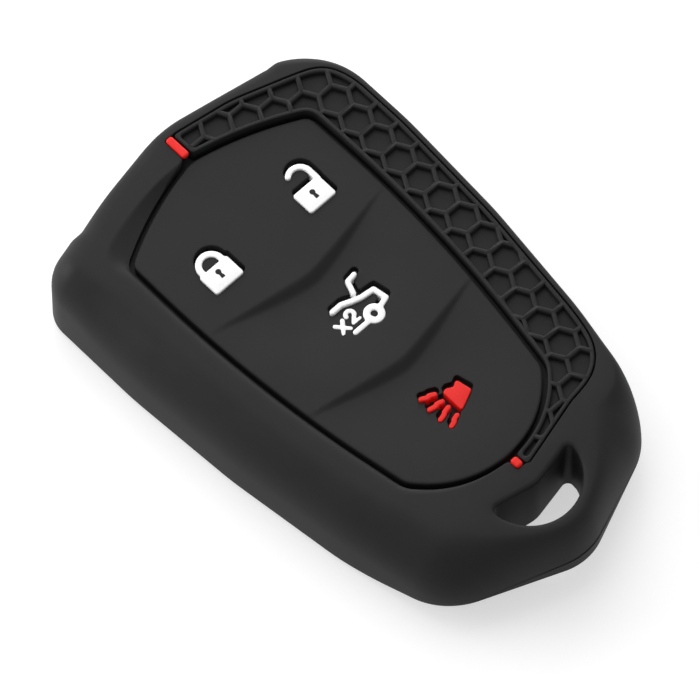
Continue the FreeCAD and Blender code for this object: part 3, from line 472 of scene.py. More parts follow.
def chained(follow):
    """Closed chains of keys, from a table that says which key follows which."""
    chains = []
    while follow:
        start, here = follow.popitem()
        chain = [start]
        while here != start:
            chain.append(here)
            here = follow.pop(here)
        chains.append(chain)
    return chains


def base_outline(node):
    """The largest outline of a CAD node's underside, in millimetres."""
    work = bmesh.new()
    work.from_mesh(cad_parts[node].data)
    bmesh.ops.remove_doubles(work, verts=work.verts, dist=FLAT)
    low = min(vert.co.z for vert in work.verts)
    floor = [face for face in work.faces if max(vert.co.z for vert in face.verts) < low + FLAT]
    lowest = set(floor)
    follow = {}
    for face in floor:
        for corner in face.loops:
            others = [other for other in corner.edge.link_faces if other is not face]
            if not any(other in lowest for other in others):
                follow[corner.vert] = corner.link_loop_next.vert
    loops = [np.array([vert.co.xy for vert in chain]) / MM for chain in chained(follow)]
    work.free()
    return max((loop if area(loop) > 0 else loop[::-1].copy() for loop in loops), key=area)


strip_base = base_outline("honeycomb_strip")
print("strip outline in the CAD model: %d points" % len(strip_base))

# %% The strip's outline with rounder corners
STRIP_GAP = 0.2
STRIP_STEP, EASE_PASSES, LEAST_POINTS = 0.35, 60, 12
ROUND_CORNERS = [((-32.0, 21.65), 7.0), ((21.1, 19.2), 5.0), ((24.5, 16.2), 5.0)]


def evened(loop, spacing):
    """The same loop with points at even distances and its tight corners eased."""
    ends = np.vstack([loop, loop[:1]])
    along = np.concatenate([[0], np.cumsum(np.hypot(*np.diff(ends, axis=0).T))])
    count = max(LEAST_POINTS, int(along[-1] / spacing))
    places = np.linspace(0, along[-1], count, endpoint=False)
    even = np.column_stack([np.interp(places, along, ends[:, k]) for k in (0, 1)])
    for _ in range(2):
        even = (np.roll(even, 1, axis=0) + 2 * even + np.roll(even, -1, axis=0)) / 4
    return even


def eased(loop, corners, spacing, passes):
    """The loop with even points, and with the corners near some places drawn round."""
    even = evened(loop, spacing)
    ease = np.zeros(len(even))
    for place, reach in corners:
        ease = np.maximum(ease, smooth_step(reach, 0.5 * reach, np.hypot(*(even - np.array(place)).T)))
    for _ in range(passes):
        middle = (np.roll(even, 1, axis=0) + np.roll(even, -1, axis=0)) / 2
        even = even + 0.5 * ease[:, None] * (middle - even)
    return even


strip_line = eased(strip_base, ROUND_CORNERS, STRIP_STEP, EASE_PASSES)
strip_edge = moved(strip_line, STRIP_GAP)
print("strip outline, eased: %d points" % len(strip_line))

# %% [markdown]
# ## The recess in the top
# The panel, the honeycomb strip and the two red bars lie in one recess. Its edge follows the panel on the
# plain side and runs close inside the cover's rim on the strip's side. It is joined from stretches of the
# panel's and the strip's own outlines, because an outline of its own would leave uneven gaps.

# %% Recess outline
BAR_HALF, BAR_CLEAR = 0.6, 0.8
UPPER_BAR_X, LOWER_BAR_X = WIDE_END + 1.75, PANEL_FOOT + 2.0
GROOVE_CORNER, BAR_CORNER = 0.5, 0.3
STRIP_CLEAR, STRIP_END_CLEAR = 1.2 * GROOVE, 0.4
MIDDLE_X = -4.0


def bearing(places):
    """The direction of each place as seen from the middle of the cover."""
    return np.arctan2(places[:, 1], places[:, 0] - MIDDLE_X)


def recess_corners():
    """Corners of the recess: plain side, lower bar, outer edge of the strip and upper bar."""
    plain = moved(panel_line, GROOVE / 2)
    plain = plain[plain[:, 1] < -BAR_HALF - BAR_CLEAR]
    plain = plain[np.argsort(bearing(plain))]
    start_y = strip_edge[:, 1].min()
    beside_panel = inside([moved(panel_line, STRIP_CLEAR)], strip_edge)
    free = ~beside_panel & (strip_edge[:, 1] > start_y + STRIP_END_CLEAR)
    first = int(np.argmax(free & ~np.roll(free, 1)))
    outer = np.roll(strip_edge, -first, axis=0)[np.roll(free, -first)]
    corners = [tuple(place) + (0,) for place in plain]
    corners += [(PANEL_FOOT + GROOVE / 2, -BAR_HALF, GROOVE_CORNER)]
    corners += [(LOWER_BAR_X, -BAR_HALF, BAR_CORNER), (LOWER_BAR_X, start_y, 0)]
    corners += [tuple(place) + (0,) for place in outer]
    corners += [(UPPER_BAR_X, start_y, 0), (UPPER_BAR_X, -BAR_HALF, BAR_CORNER)]
    corners += [(PANEL_APEX - GROOVE / 2, -BAR_HALF, GROOVE_CORNER)]
    return corners


recess_line = rounded_loop(recess_corners())
print("recess outline: %d points" % len(recess_line))

# %% [markdown]
# ## The key ring slot
# The slot is a half round with its straight side bent towards the tail. Its upper edge is softly rounded,
# because a key ring would cut into a sharp one. An arc and three corners are enough to draw it.

# %% Slot outline
SLOT_CENTRE, SLOT_RADIUS = TAIL_END - 10.8, 7.0
SLOT_WAIST, SLOT_BEND, SLOT_HALF = TAIL_END - 9.1, 1.5, 6.97
SLOT_END_RADIUS, SLOT_WAIST_RADIUS = 0.8, 4.0
SLOT_LIP = 0.6
slot_arc = [math.radians(angle) for angle in range(-72, 73, 6)]
slot_corners = [(SLOT_CENTRE + SLOT_RADIUS * math.cos(a), SLOT_RADIUS * math.sin(a), 0) for a in slot_arc]
slot_corners += [(SLOT_WAIST - SLOT_BEND, SLOT_HALF, SLOT_END_RADIUS), (SLOT_WAIST, 0, SLOT_WAIST_RADIUS),
                 (SLOT_WAIST - SLOT_BEND, -SLOT_HALF, SLOT_END_RADIUS)]
slot_line = rounded_loop(slot_corners)
print("slot outline: %d points" % len(slot_line))

# %% [markdown]
# ## The roll into the groove
# On the plain side the rim rolls down into the groove: as a flat facet along the roof, and as a soft round
# along the side. A Bevel has one width, and this roll changes its width along the way, so the width and the
# depth are worked out for each point of the recess.

# %% Roll: how wide and how deep
ROOF_FADE, FOOT_FADE, APEX_FADE = (-27.0, -29.0), (2.0, 10.0), (0.5, 6.0)
ROOF_ROLL_SLOPE, LEAST_ROLL, MOST_ROLL = 0.2, 0.25, 2.9
SIDE_ROLL, SIDE_ROLL_LOSS, SIDE_ROLL_FADE = 1.7, 0.9, (14.0, 24.0)
STRIP_ROLL, STRIP_ROLL_DEEP = 0.12, 0.15
ROLL_FOOT_Z = 13.2
ROLL_REACH, PLAIN_CLEAR = 3, 0.01
LEAST_SUPPORT, MORE_SUPPORT = 0.1, 0.15


def softened(values, reach):
    """A running mean round a closed outline."""
    kernel = np.hanning(2 * reach + 3)[1:-1]
    kernel /= kernel.sum()
    padded = np.concatenate([values[-reach:], values, values[:reach]])
    return np.convolve(padded, kernel, mode="valid")


recess_x, recess_y = recess_line.T
on_roof = smooth_step(*ROOF_FADE, recess_x)
on_plain = recess_y < -BAR_HALF - PLAIN_CLEAR
roof_roll = np.clip(ROOF_ROLL_SLOPE * -recess_y, LEAST_ROLL, MOST_ROLL)
side_roll = SIDE_ROLL - SIDE_ROLL_LOSS * smooth_step(*SIDE_ROLL_FADE, recess_x)
near_foot = smooth_step(*FOOT_FADE, -recess_y)
roll_wide = on_roof * roof_roll + (1 - on_roof) * (LEAST_ROLL + (side_roll - LEAST_ROLL) * near_foot)
roll_wide = np.where(on_plain, roll_wide, STRIP_ROLL)
near_apex = smooth_step(*APEX_FADE, -recess_y)
roll_share = np.where(on_plain, on_roof * near_apex + (1 - on_roof) * near_foot, 0)
roll_deep = STRIP_ROLL_DEEP + (top_z(recess_x) - ROLL_FOOT_Z - STRIP_ROLL_DEEP) * roll_share
facet_share = on_roof * roll_share
roll_wide = softened(roll_wide, ROLL_REACH)
roll_deep = softened(roll_deep, ROLL_REACH)
support = LEAST_SUPPORT + MORE_SUPPORT * roll_share
print("roll: up to %.2f mm wide and %.2f mm deep" % (roll_wide.max(), roll_deep.max()))

# %% [markdown]
# ## The rim's rounds
# The cover could be cut from a block with Booleans, but their edges would stay sharp, and this object is all
# soft edges. Walking over rings gives each edge its own round instead: wide on the plain side and round the
# tail, narrow beside the strip and at the wide end. Where the top is narrow, the round takes most of the room
# that is left.

# %% Rim: how wide and how deep its rounds are
SIDE_ROUND, SHOULDER_ROUND, WIDE_END_ROUND = (6.2, 8.0), (4.0, 6.0), (2.0, 2.0)
STRIP_SIDE_ROUND, STRIP_END_ROUND = (0.9, 2.0), (1.5, 1.6)
UNDER_ROUND = 1.35
SLOT_CLEAR = 0.15
RIM_REACH = 6
ROOM_SHARE, ROOM_MOST = 0.85, 0.9
STRIP_TAIL_Y, STRIP_TAIL_X = (12.5, 17.0), (32.0, 25.0)
STRIP_START_Y = (-4, 4)
WIDE_END_X, SHOULDER_X, PAST_SHOULDER_Y = (-28.0, -33.0), (-22.0, -33.0), (-22.5, -10.0)

tail_side = smooth_step(*STRIP_TAIL_Y, at_y) * smooth_step(*STRIP_TAIL_X, at_x)
strip_side = np.where(at_x < 0, smooth_step(*STRIP_START_Y, at_y), tail_side)
at_wide_end = smooth_step(*WIDE_END_X, at_x)
at_shoulder = smooth_step(*SHOULDER_X, at_x)
past_shoulder = smooth_step(*PAST_SHOULDER_Y, at_y) * (at_x < WIDE_PART_X)


def rim_round(k):
    """The round's width (k is 0) or depth (k is 1) along the outline."""
    plain = SIDE_ROUND[k] + (SHOULDER_ROUND[k] - SIDE_ROUND[k]) * at_shoulder
    plain = plain + (WIDE_END_ROUND[k] - SHOULDER_ROUND[k]) * past_shoulder
    beside_strip = STRIP_SIDE_ROUND[k] + (STRIP_END_ROUND[k] - STRIP_SIDE_ROUND[k]) * at_wide_end
    return plain + (beside_strip - plain) * strip_side


keep_clear = np.vstack([moved(recess_line, roll_wide + support), moved(slot_line, SLOT_LIP + SLOT_CLEAR)])
room = nearest(cover_line(0), keep_clear)
round_wide = softened(np.minimum(rim_round(0), ROOM_SHARE * softened(room, RIM_REACH)), RIM_REACH)
round_wide = np.minimum(round_wide, ROOM_MOST * room)
round_deep = softened(rim_round(1), RIM_REACH)
under_wide = softened(np.minimum(UNDER_ROUND, ROOM_SHARE * nearest(cover_line(0), slot_line)), RIM_REACH)
print("top round: %.2f to %.2f mm wide" % (round_wide.min(), round_wide.max()))

# %% [markdown]
# ## The cover
# The cover is a shell that is open at the back, so that a fob can be pressed in. Its outside and its inside
# could be two shells joined at the window. One walk does both: underside, wall, top, slot, recess, hollow and
# back to the window, which leaves one closed skin.

# %% Cover: outside
WALL, BACK_LIP, LEDGE = 2.2, 1.8, 1.2
WINDOW_INSET, WINDOW_END, WINDOW_RADIUS = 7.5, TAIL_END - 21.1, 3.0
HOLLOW_END, HOLLOW_RADIUS = TAIL_END - 12.6, 2.0
UNDER_GRID, TOP_GRID = 2.0, 1.2
UNDER_STEPS, RIM_STEPS, SLOT_STEPS, ROLL_STEPS = 9, 11, 6, 7


def trimmed_line(inset, end_x, corner_radius):
    """The cover's outline drawn in, cut off straight towards the tail, with two round corners."""
    line = moved(plain_line, -inset)
    at_end = np.interp(end_x, *line[(line[:, 1] > 0) & (line[:, 0] > WIDE_PART_X)][::-1].T)
    kept = line[line[:, 0] < end_x - 1.2 * corner_radius]
    kept = kept[np.argsort(bearing(kept) % (2 * math.pi))]
    corners = [tuple(place) + (0,) for place in kept]
    corners += [(end_x, -at_end, corner_radius), (end_x, at_end, corner_radius)]
    return rounded_loop(corners)


def cover_outside(skin, window_low, slot_low):
    """The underside, the wall, the top and the slot; gives the ring round the recess."""
    ring = None
    for rise, inward in quarter_round(UNDER_STEPS):
        line = cover_line(under_wide * inward)
        following = skin.ring(lifted(line, under_z(line[:, 0]) + UNDER_ROUND * rise))
        if ring is None:
            skin.fill(following, [window_low, slot_low], False, lambda x, y: under_z(x), UNDER_GRID)
        else:
            skin.bridge(ring, following)
        ring = following
    for inward, below in quarter_round(RIM_STEPS):
        line = cover_line(round_wide * inward)
        ring = skin.bridge(ring, skin.ring(lifted(line, top_z(line[:, 0]) - round_deep * below)))
    slot_ring = slot_low
    for outward, below in quarter_round(SLOT_STEPS):
        line = moved(slot_line, SLOT_LIP * outward)
        following = skin.ring(lifted(line, top_z(line[:, 0]) - SLOT_LIP * below))
        skin.bridge(following, slot_ring)
        slot_ring = following
    outer = moved(recess_line, roll_wide + support)
    roll = skin.ring(lifted(outer, top_z(outer[:, 0])))
    skin.fill(ring, [roll, slot_ring], True, lambda x, y: top_z(x), TOP_GRID)
    return roll


print("wall %.1f mm, lip round the window %.1f mm" % (WALL, BACK_LIP))


# %% Cover: recess and hollow
def cover_inside(skin, roll, window, window_low):
    """The roll into the recess, the recess, the hollow for the fob and the lip round the window."""
    for part in np.linspace(0, 1, ROLL_STEPS):
        line = moved(recess_line, roll_wide * (1 - part))
        drop = facet_share * part + (1 - facet_share) * (1 - np.sqrt(1 - part * part))
        roll = skin.bridge(roll, skin.ring(lifted(line, top_z(line[:, 0]) - roll_deep * drop)))
    floor = skin.bridge(roll, skin.ring(lifted(recess_line, PANEL_BASE)))
    opening = moved(panel_line, -LEDGE)
    opening_high = skin.ring(lifted(opening, PANEL_BASE))
    skin.fill(floor, [opening_high], True)
    opening_low = skin.bridge(opening_high, skin.ring(lifted(opening, CEILING_Z)))
    hollow = trimmed_line(WALL, HOLLOW_END, HOLLOW_RADIUS)
    hollow_high = skin.ring(lifted(hollow, CEILING_Z))
    skin.fill(hollow_high, [opening_low], False)
    hollow_low = skin.bridge(hollow_high, skin.ring(lifted(hollow, BACK_LIP + under_z(hollow[:, 0]))))
    window_high = skin.ring(lifted(window, BACK_LIP + under_z(window[:, 0])))
    skin.fill(hollow_low, [window_high], True, lambda x, y: BACK_LIP + under_z(x), UNDER_GRID)
    skin.bridge(window_high, window_low)


def make_cover():
    skin = Skin()
    window = trimmed_line(WINDOW_INSET, WINDOW_END, WINDOW_RADIUS)
    window_low = skin.ring(lifted(window, under_z(window[:, 0])))
    slot_low = skin.ring(lifted(slot_line, under_z(slot_line[:, 0])))
    roll = cover_outside(skin, window_low, slot_low)
    cover_inside(skin, roll, window, window_low)
    return skin.finish("cover_skin", black_silicone)


cover = make_cover()
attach(cover, "cover")
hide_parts("cover_body")

# %% [markdown]
# ## Pictograms as fields
# The pictograms are strokes with round ends, and each lies in a pocket that is a little wider than itself.
# Offsetting such outlines point by point makes them cross. A field is safer: for every place it gives the
# distance to the nearest stroke, less than zero inside. Strokes join by taking the smaller distance, a pocket
# is the same field at another level, and the outline is read where the field passes through zero.

# %% Fields
POCKET_TIGHT, POCKET_LOOSE, POCKET_SHIFT = 0.13, 0.3, (-0.5, 0.48)


def stroke_field(points, width):
    """Distance to a bent stroke with round ends."""
    points = np.array(points, dtype=float)

    def field(x, y):
        best = np.full(np.shape(x), np.inf)
        for a, b in zip(points, points[1:]):
            run = b - a
            t = np.clip(((x - a[0]) * run[0] + (y - a[1]) * run[1]) / (run @ run), 0, 1)
            best = np.minimum(best, np.hypot(x - a[0] - t * run[0], y - a[1] - t * run[1]))
        return best - width / 2
    return field


def shape_field(corners, radius):
    """Distance to a filled outline with rounded corners."""
    corners = np.array(corners, dtype=float)
    edge = stroke_field(np.vstack([corners, corners[:1]]), 2 * radius)

    def field(x, y):
        within = inside([corners], np.column_stack([x.ravel(), y.ravel()])).reshape(x.shape)
        return np.where(within, -np.abs(edge(x, y) + radius) - radius, edge(x, y))
    return field


def joined(*fields):
    return lambda x, y: np.minimum.reduce([field(x, y) for field in fields])


def pocket_field(field, far_field):
    """The pocket round a pictogram: wider on the side towards the honeycomb's corner."""
    step_x, step_y = POCKET_SHIFT
    return lambda x, y: np.minimum(field(x, y) - POCKET_TIGHT,
                                   far_field(x - step_x, y - step_y) - POCKET_LOOSE)


trial_stroke = stroke_field([(0, 0), (4, 0)], 1.0)
print("2 mm beside a stroke 1 mm wide, its edge is %.1f mm away" % trial_stroke(np.array(2.0), np.array(2.0)))

# %% Outlines of a field
CONTOUR_STEP, POINT_SPACING = 0.08, 1.3


def contour(field, low, high, step=CONTOUR_STEP):
    """Closed outlines of a field's zero level, with the inside on the left, longest first."""
    xs = np.arange(low[0], high[0], step)
    ys = np.arange(low[1], high[1], step)
    value = field(*np.meshgrid(xs, ys, indexing="ij"))
    value = np.where(value == 0, 1e-9, value)
    within = value < 0
    mixed = within[:-1, :-1].astype(int) + within[1:, :-1] + within[1:, 1:] + within[:-1, 1:]
    follow, places = {}, {}
    for i, j in np.argwhere((mixed > 0) & (mixed < 4)):
        corners = [(i, j), (i + 1, j), (i + 1, j + 1), (i, j + 1)]
        crossings = []
        for a, b in zip(corners, corners[1:] + corners[:1]):
            if within[a] != within[b]:
                key = tuple(sorted((a, b)))
                t = value[a] / (value[a] - value[b])
                places[key] = (xs[a[0]] + t * (xs[b[0]] - xs[a[0]]), ys[a[1]] + t * (ys[b[1]] - ys[a[1]]))
                crossings.append((key, within[a]))
        for k, (key, leaves) in enumerate(crossings):
            if leaves:
                follow[key] = crossings[(k + 1) % len(crossings)][0]
    loops = [np.array([places[key] for key in chain]) for chain in chained(follow)]
    return sorted([evened(loop, POINT_SPACING * step) for loop in loops], key=len, reverse=True)


trial_area = area(contour(trial_stroke, (-2, -2), (6, 2))[0])
print("the stroke's outline encloses %.1f square mm" % trial_area)

# %% [markdown]
# ## Drawing the pictograms
# A closed and an open padlock, a car with its lid raised, and a horn with four sound lines: each is a few
# strokes and blocks. The places were read from the photo, so that the strokes bend where the real ones do.

# %% Pictogram strokes
LOCK, LOCK_HALF, UNLOCK, UNLOCK_HALF = (-18.86, -8.45), (1.39, 2.1), (-19.08, 8.27), (1.45, 1.95)
PADLOCK_CORNER, HORN_CORNER = 0.3, 0.25
CLOSED_WIDTH, OPEN_WIDTH = 0.88, 0.8
ROOF_WIDTH, LID_WIDTH, SOUND_WIDTH = 0.75, 0.68, 0.7
WHEEL, WHEEL_RADIUS, WHEEL_WIDTH = (-1.52, 2.02), 0.98, 0.96


def arc(centre, radius, first, last, count=15):
    """Points on an arc; an angle of 0 is towards +X and 90 degrees towards +Y."""
    turns = np.radians(np.linspace(first, last, count))
    return [(centre[0] + radius * math.cos(t), centre[1] + radius * math.sin(t)) for t in turns]


def block(centre, half):
    """Corners of a rectangle."""
    signs = ((-1, -1), (1, -1), (1, 1), (-1, 1))
    return [(centre[0] + i * half[0], centre[1] + j * half[1]) for i, j in signs]


closed_shackle = [(-20.3, -10.11)] + arc((-20.8, LOCK[1]), 1.66, 270, 90) + [(-20.3, -6.79)]
open_shackle = [(-20.5, 10.2)] + arc((-22.11, 8.61), 1.6, 90, 224)
car_roof = [(-5.38, -1.74), (-5.4, -0.18), (-4.78, 1.24), (-4.39, 2.42), (-4.13, 4.4), (-2.17, 4.73),
            (-1.7, 3.2)]
car_lid = [(-7.41, 4.1), (-7.24, 2.78), (-5.5, 2.15)]
car_sill = [(-1.2, -1.6), (-1.2, 1.3)]
horn_corners = [(12.95, 2.75), (14.85, 3.15), (15.0, 2.8), (15.95, 0.65), (12.95, 0.67), (12.85, 1.0),
                (13.38, 1.95)]
sound_lines = [[(12.23, -0.5), (11.85, -1.2), (11.95, -1.5), (11.52, -2.25)],
               [(13.62, -0.5), (13.4, -1.3), (13.55, -1.6), (13.35, -2.5)],
               [(14.75, -0.5), (14.9, -1.35), (15.15, -1.6), (15.35, -2.5)],
               [(16.34, -0.5), (16.5, -1.2), (16.8, -1.4), (17.0, -2.15)]]
print("strokes: 2 shackles, 3 for the car and %d sound lines" % len(sound_lines))

# %% Pictogram and pocket outlines
car_body = joined(stroke_field(car_roof, ROOF_WIDTH), stroke_field(car_lid, LID_WIDTH))
icon_fields = {
    "lock": joined(shape_field(block(LOCK, LOCK_HALF), PADLOCK_CORNER),
                   stroke_field(closed_shackle, CLOSED_WIDTH)),
    "unlock": joined(shape_field(block(UNLOCK, UNLOCK_HALF), PADLOCK_CORNER),
                     stroke_field(open_shackle, OPEN_WIDTH)),
    "trunk": joined(car_body, stroke_field(arc(WHEEL, WHEEL_RADIUS, 0, 360, 33), WHEEL_WIDTH),
                    stroke_field(car_sill, ROOF_WIDTH)),
    "horn": shape_field(horn_corners, HORN_CORNER),
}
for number, line in enumerate(sound_lines, start=1):
    icon_fields["sound_%d" % number] = stroke_field(line, SOUND_WIDTH)
icon_fields["panic"] = joined(icon_fields["horn"], *[icon_fields["sound_%d" % k] for k in range(1, 5)])
ICON_BOXES = {"lock": ((-25, -12.5), (-15, -4)), "unlock": ((-26, 4), (-15, 13)),
              "trunk": ((-10, -4), (2, 7)), "panic": ((9, -5), (20, 6))}


def icon_loops(icon, field):
    """Outlines of a field, looked for in the box of the button that the icon is on."""
    button = icon if icon in ICON_BOXES else "panic"
    return contour(field, *ICON_BOXES[button])


pocket_loops = {}
for icon in ICON_BOXES:
    far_field = car_body if icon == "trunk" else icon_fields[icon]
    pocket_loops[icon] = icon_loops(icon, pocket_field(icon_fields[icon], far_field))
print("pocket outlines:", {icon: len(loops) for icon, loops in pocket_loops.items()})

# %% [markdown]
# ## The button panel
# The panel is a thin soft plate with two chevron steps: beyond each crease it drops by up to a millimetre and
# then rises slowly again. A rule gives its height at every place, so it is filled with a fine grid of points
# that take their height from the rule. Sculpting would be harder to repeat. The pockets' soft edges are
# rings, as on the cover.

# %% Panel: height
STEP_DEPTH, STEP_REACH, STEP_SWEEP, STEP_WIDE = 1.0, 17.0, 2.8, 1.4
STEP_LEAST, STEP_STRAIGHT = 0.15, 0.65
UPPER_STEP, LOWER_STEP = -11.4, 5.7


def step_dip(x, y, point):
    """How far a step lowers the panel, fading with the distance from the chevron's point."""
    crease = point - STEP_SWEEP / STEP_REACH * (np.sqrt(y * y + 1.0) - 1.0)
    far = ((x - point) ** 2 + y * y) / STEP_REACH ** 2
    fade = np.clip(1 - far, 0, 1) ** 2
    beyond = np.clip((x - crease) / (STEP_WIDE * np.maximum(fade, STEP_LEAST)), 0, 1)
    ramp = STEP_STRAIGHT * beyond + (1 - STEP_STRAIGHT) * beyond * beyond * (3 - 2 * beyond)
    return STEP_DEPTH * fade * ramp


def panel_z(x, y):
    return PANEL_Z - step_dip(x, y, UPPER_STEP) - step_dip(x, y, LOWER_STEP)


print("panel below the upper crease: %.2f mm lower" % step_dip(UPPER_STEP + STEP_WIDE, 0.0, UPPER_STEP))

# %% Panel: skin
PANEL_EDGE, POCKET_EDGE = 0.3, 0.06
PANEL_GRID, BASE_GAP = 0.3, 0.01
EDGE_STEPS, POCKET_STEPS = 5, 4
pockets = [loop for loops in pocket_loops.values() for loop in loops if area(loop) > 0]


def make_panel():
    skin = Skin()
    edge = moved(panel_line, -GROOVE / 2)
    low = skin.ring(lifted(edge, PANEL_BASE + BASE_GAP))
    ring = low
    for inward, below in quarter_round(EDGE_STEPS):
        line = moved(edge, -PANEL_EDGE * inward)
        ring = skin.bridge(ring, skin.ring(lifted(line, panel_z(*line.T) - PANEL_EDGE * below)))
    holes_low, holes_high = [], []
    for pocket in pockets:
        hole = skin.ring(lifted(moved(pocket, -POCKET_EDGE), PANEL_BASE + BASE_GAP))
        holes_low.append(hole)
        for turn in np.linspace(0, math.pi / 2, POCKET_STEPS):
            line = moved(pocket, -POCKET_EDGE * math.cos(turn))
            drop = POCKET_EDGE * (1 - math.sin(turn))
            following = skin.ring(lifted(line, panel_z(*line.T) - drop))
            skin.bridge(following, hole)
            hole = following
        holes_high.append(hole)
    skin.fill(ring, holes_high, True, panel_z, PANEL_GRID)
    skin.fill(low, holes_low, False)
    return skin.finish("soft_button_panel", black_silicone)


panel = make_panel()
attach(panel, "cover")
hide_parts("button_panel")
print("pockets in the panel:", len(pockets))

# %% [markdown]
# ## The honeycomb strip
# The grip is a lattice of shallow hexagonal cells that ends at a plain border. Drawing each cell by hand
# would be slow and hard to change, so Geometry Nodes lay the cells out: a grid of points with every second
# row moved half a pitch, a cell on each point, the cells trimmed to the field inside the border, and all of
# them cut out of the slab. Each cell flares at its mouth, which gives the webs their soft tops.

# %% Slab, field and cell
STRIP_BASE, STRIP_BORDER = 11.85, 0.55
SLAB_EDGE = ((0, -0.15), (0.04, -0.05), (0.15, 0))
CELL_PITCH, CELL_WEB, CELL_DEPTH = 3.95, 0.65, 0.9
CELL_FLARE, CELL_MOUTH, CELL_TAPER = 0.16, 0.18, 0.04
FIELD_BOX, FIELD_STEP = ((-40, -1), (32, 26)), 0.2
FIELD_FLOOR, FIELD_MOUTH_RISE, FIELD_TOP_RISE = STRIP_BASE + 0.05, 0.06, 0.4
CELL_MOUTH_RISE, CELL_TOP_RISE = 0.05, 0.2


def stacked(name, rows):
    """A closed solid from rings stacked upwards, each a loop and its heights."""
    skin = Skin()
    ring = skin.ring(lifted(*rows[0]))
    skin.fill(ring, [], False)
    for row in rows[1:]:
        ring = skin.bridge(ring, skin.ring(lifted(*row)))
    skin.fill(ring, [], True)
    return skin.finish(name, black_silicone)


def over_top(line, rise):
    """A row that follows the cover's top."""
    return line, top_z(line[:, 0]) + rise


def hexagon(radius):
    turns = [math.radians(30 + 60 * k) for k in range(6)]
    return np.array([(radius * math.cos(turn), radius * math.sin(turn)) for turn in turns])


slab_rows = [over_top(moved(strip_line, -inset), rise) for inset, rise in SLAB_EDGE]
slab = stacked("honeycomb_slab", [(strip_line, STRIP_BASE)] + slab_rows)
strip_field = shape_field(strip_line, 0.0)
field_line = contour(lambda x, y: strip_field(x, y) + STRIP_BORDER, *FIELD_BOX, FIELD_STEP)[0]
mouth_line = moved(field_line, CELL_MOUTH)
field = stacked("honeycomb_field", [(field_line, FIELD_FLOOR), over_top(field_line, -CELL_FLARE),
                                    over_top(mouth_line, FIELD_MOUTH_RISE),
                                    over_top(mouth_line, FIELD_TOP_RISE)])
cell_radius = (CELL_PITCH - CELL_WEB) / math.sqrt(3)
cell = stacked("honeycomb_cell", [(hexagon(cell_radius - CELL_TAPER), -CELL_DEPTH),
                                  (hexagon(cell_radius), -CELL_FLARE),
                                  (hexagon(cell_radius + CELL_MOUTH), CELL_MOUTH_RISE),
                                  (hexagon(cell_radius + CELL_MOUTH), CELL_TOP_RISE)])

# %% Geometry Nodes: a tree and its nodes
CELL_INPUTS = (("Pitch", "Float"), ("Columns", "Int"), ("Rows", "Int"), ("Start", "Vector"), ("Top", "Float"),
               ("Fall", "Float"), ("Cell", "Object"), ("Field", "Object"), ("Material", "Material"))


def empty_tree(name, inputs):
    """A tree that takes and gives geometry, with named inputs."""
    tree = bpy.data.node_groups.new(name, "GeometryNodeTree")
    tree.interface.new_socket("Geometry", in_out="INPUT", socket_type="NodeSocketGeometry")
    tree.interface.new_socket("Geometry", in_out="OUTPUT", socket_type="NodeSocketGeometry")
    for label, kind in inputs:
        tree.interface.new_socket(label, in_out="INPUT", socket_type="NodeSocket" + kind)
    return tree


def added(tree, kind, feeds):
    """A new node, with what feeds each of its inputs; a plain number is set on the input itself."""
    node = tree.nodes.new(kind)
    for name, source in feeds:
        if isinstance(source, (int, float)):
            node.inputs[name].default_value = source
        else:
            tree.links.new(source, node.inputs[name])
    return node


def maths(tree, operation, first, second):
    node = added(tree, "ShaderNodeMath", [(0, first), (1, second)])
    node.operation = operation
    return node.outputs[0]


def boolean(tree, operation, feeds):
    node = added(tree, "GeometryNodeMeshBoolean", [])
    node.operation = operation
    node.solver = "EXACT"
    for name, source in feeds:
        tree.links.new(source, node.inputs[name])
    return node.outputs["Mesh"]


print("inputs of the honeycomb tree:", ", ".join(label for label, kind in CELL_INPUTS))


# %% Geometry Nodes: the lattice
def lattice(tree, given):
    """Points of the lattice: a grid with every second row moved half a pitch, laid on the sloping top."""
    pitch = given["Pitch"]
    row_pitch = maths(tree, "MULTIPLY", pitch, math.sqrt(3) / 2)
    wide = maths(tree, "MULTIPLY", pitch, maths(tree, "SUBTRACT", given["Columns"], 1))
    deep = maths(tree, "MULTIPLY", row_pitch, maths(tree, "SUBTRACT", given["Rows"], 1))
    grid = added(tree, "GeometryNodeMeshGrid", [("Vertices X", given["Columns"]), ("Size X", wide),
                                                ("Vertices Y", given["Rows"]), ("Size Y", deep)])
    place = added(tree, "GeometryNodeInputPosition", [])
    split = added(tree, "ShaderNodeSeparateXYZ", [(0, place.outputs[0])])
    start = added(tree, "ShaderNodeSeparateXYZ", [(0, given["Start"])])
    along = maths(tree, "ADD", split.outputs["X"], maths(tree, "MULTIPLY", wide, 0.5))
    across = maths(tree, "ADD", split.outputs["Y"], maths(tree, "MULTIPLY", deep, 0.5))
    row = maths(tree, "ROUND", maths(tree, "DIVIDE", across, row_pitch), 0)
    shift = maths(tree, "MULTIPLY", maths(tree, "MODULO", row, 2), maths(tree, "MULTIPLY", pitch, 0.5))
    x = maths(tree, "ADD", along, maths(tree, "ADD", shift, start.outputs["X"]))
    y = maths(tree, "ADD", across, start.outputs["Y"])
    z = maths(tree, "SUBTRACT", given["Top"], maths(tree, "MULTIPLY", x, given["Fall"]))
    spot = added(tree, "ShaderNodeCombineXYZ", [("X", x), ("Y", y), ("Z", z)])
    settle = added(tree, "GeometryNodeSetPosition", [("Geometry", grid.outputs["Mesh"]),
                                                     ("Position", spot.outputs[0])])
    return settle.outputs[0]


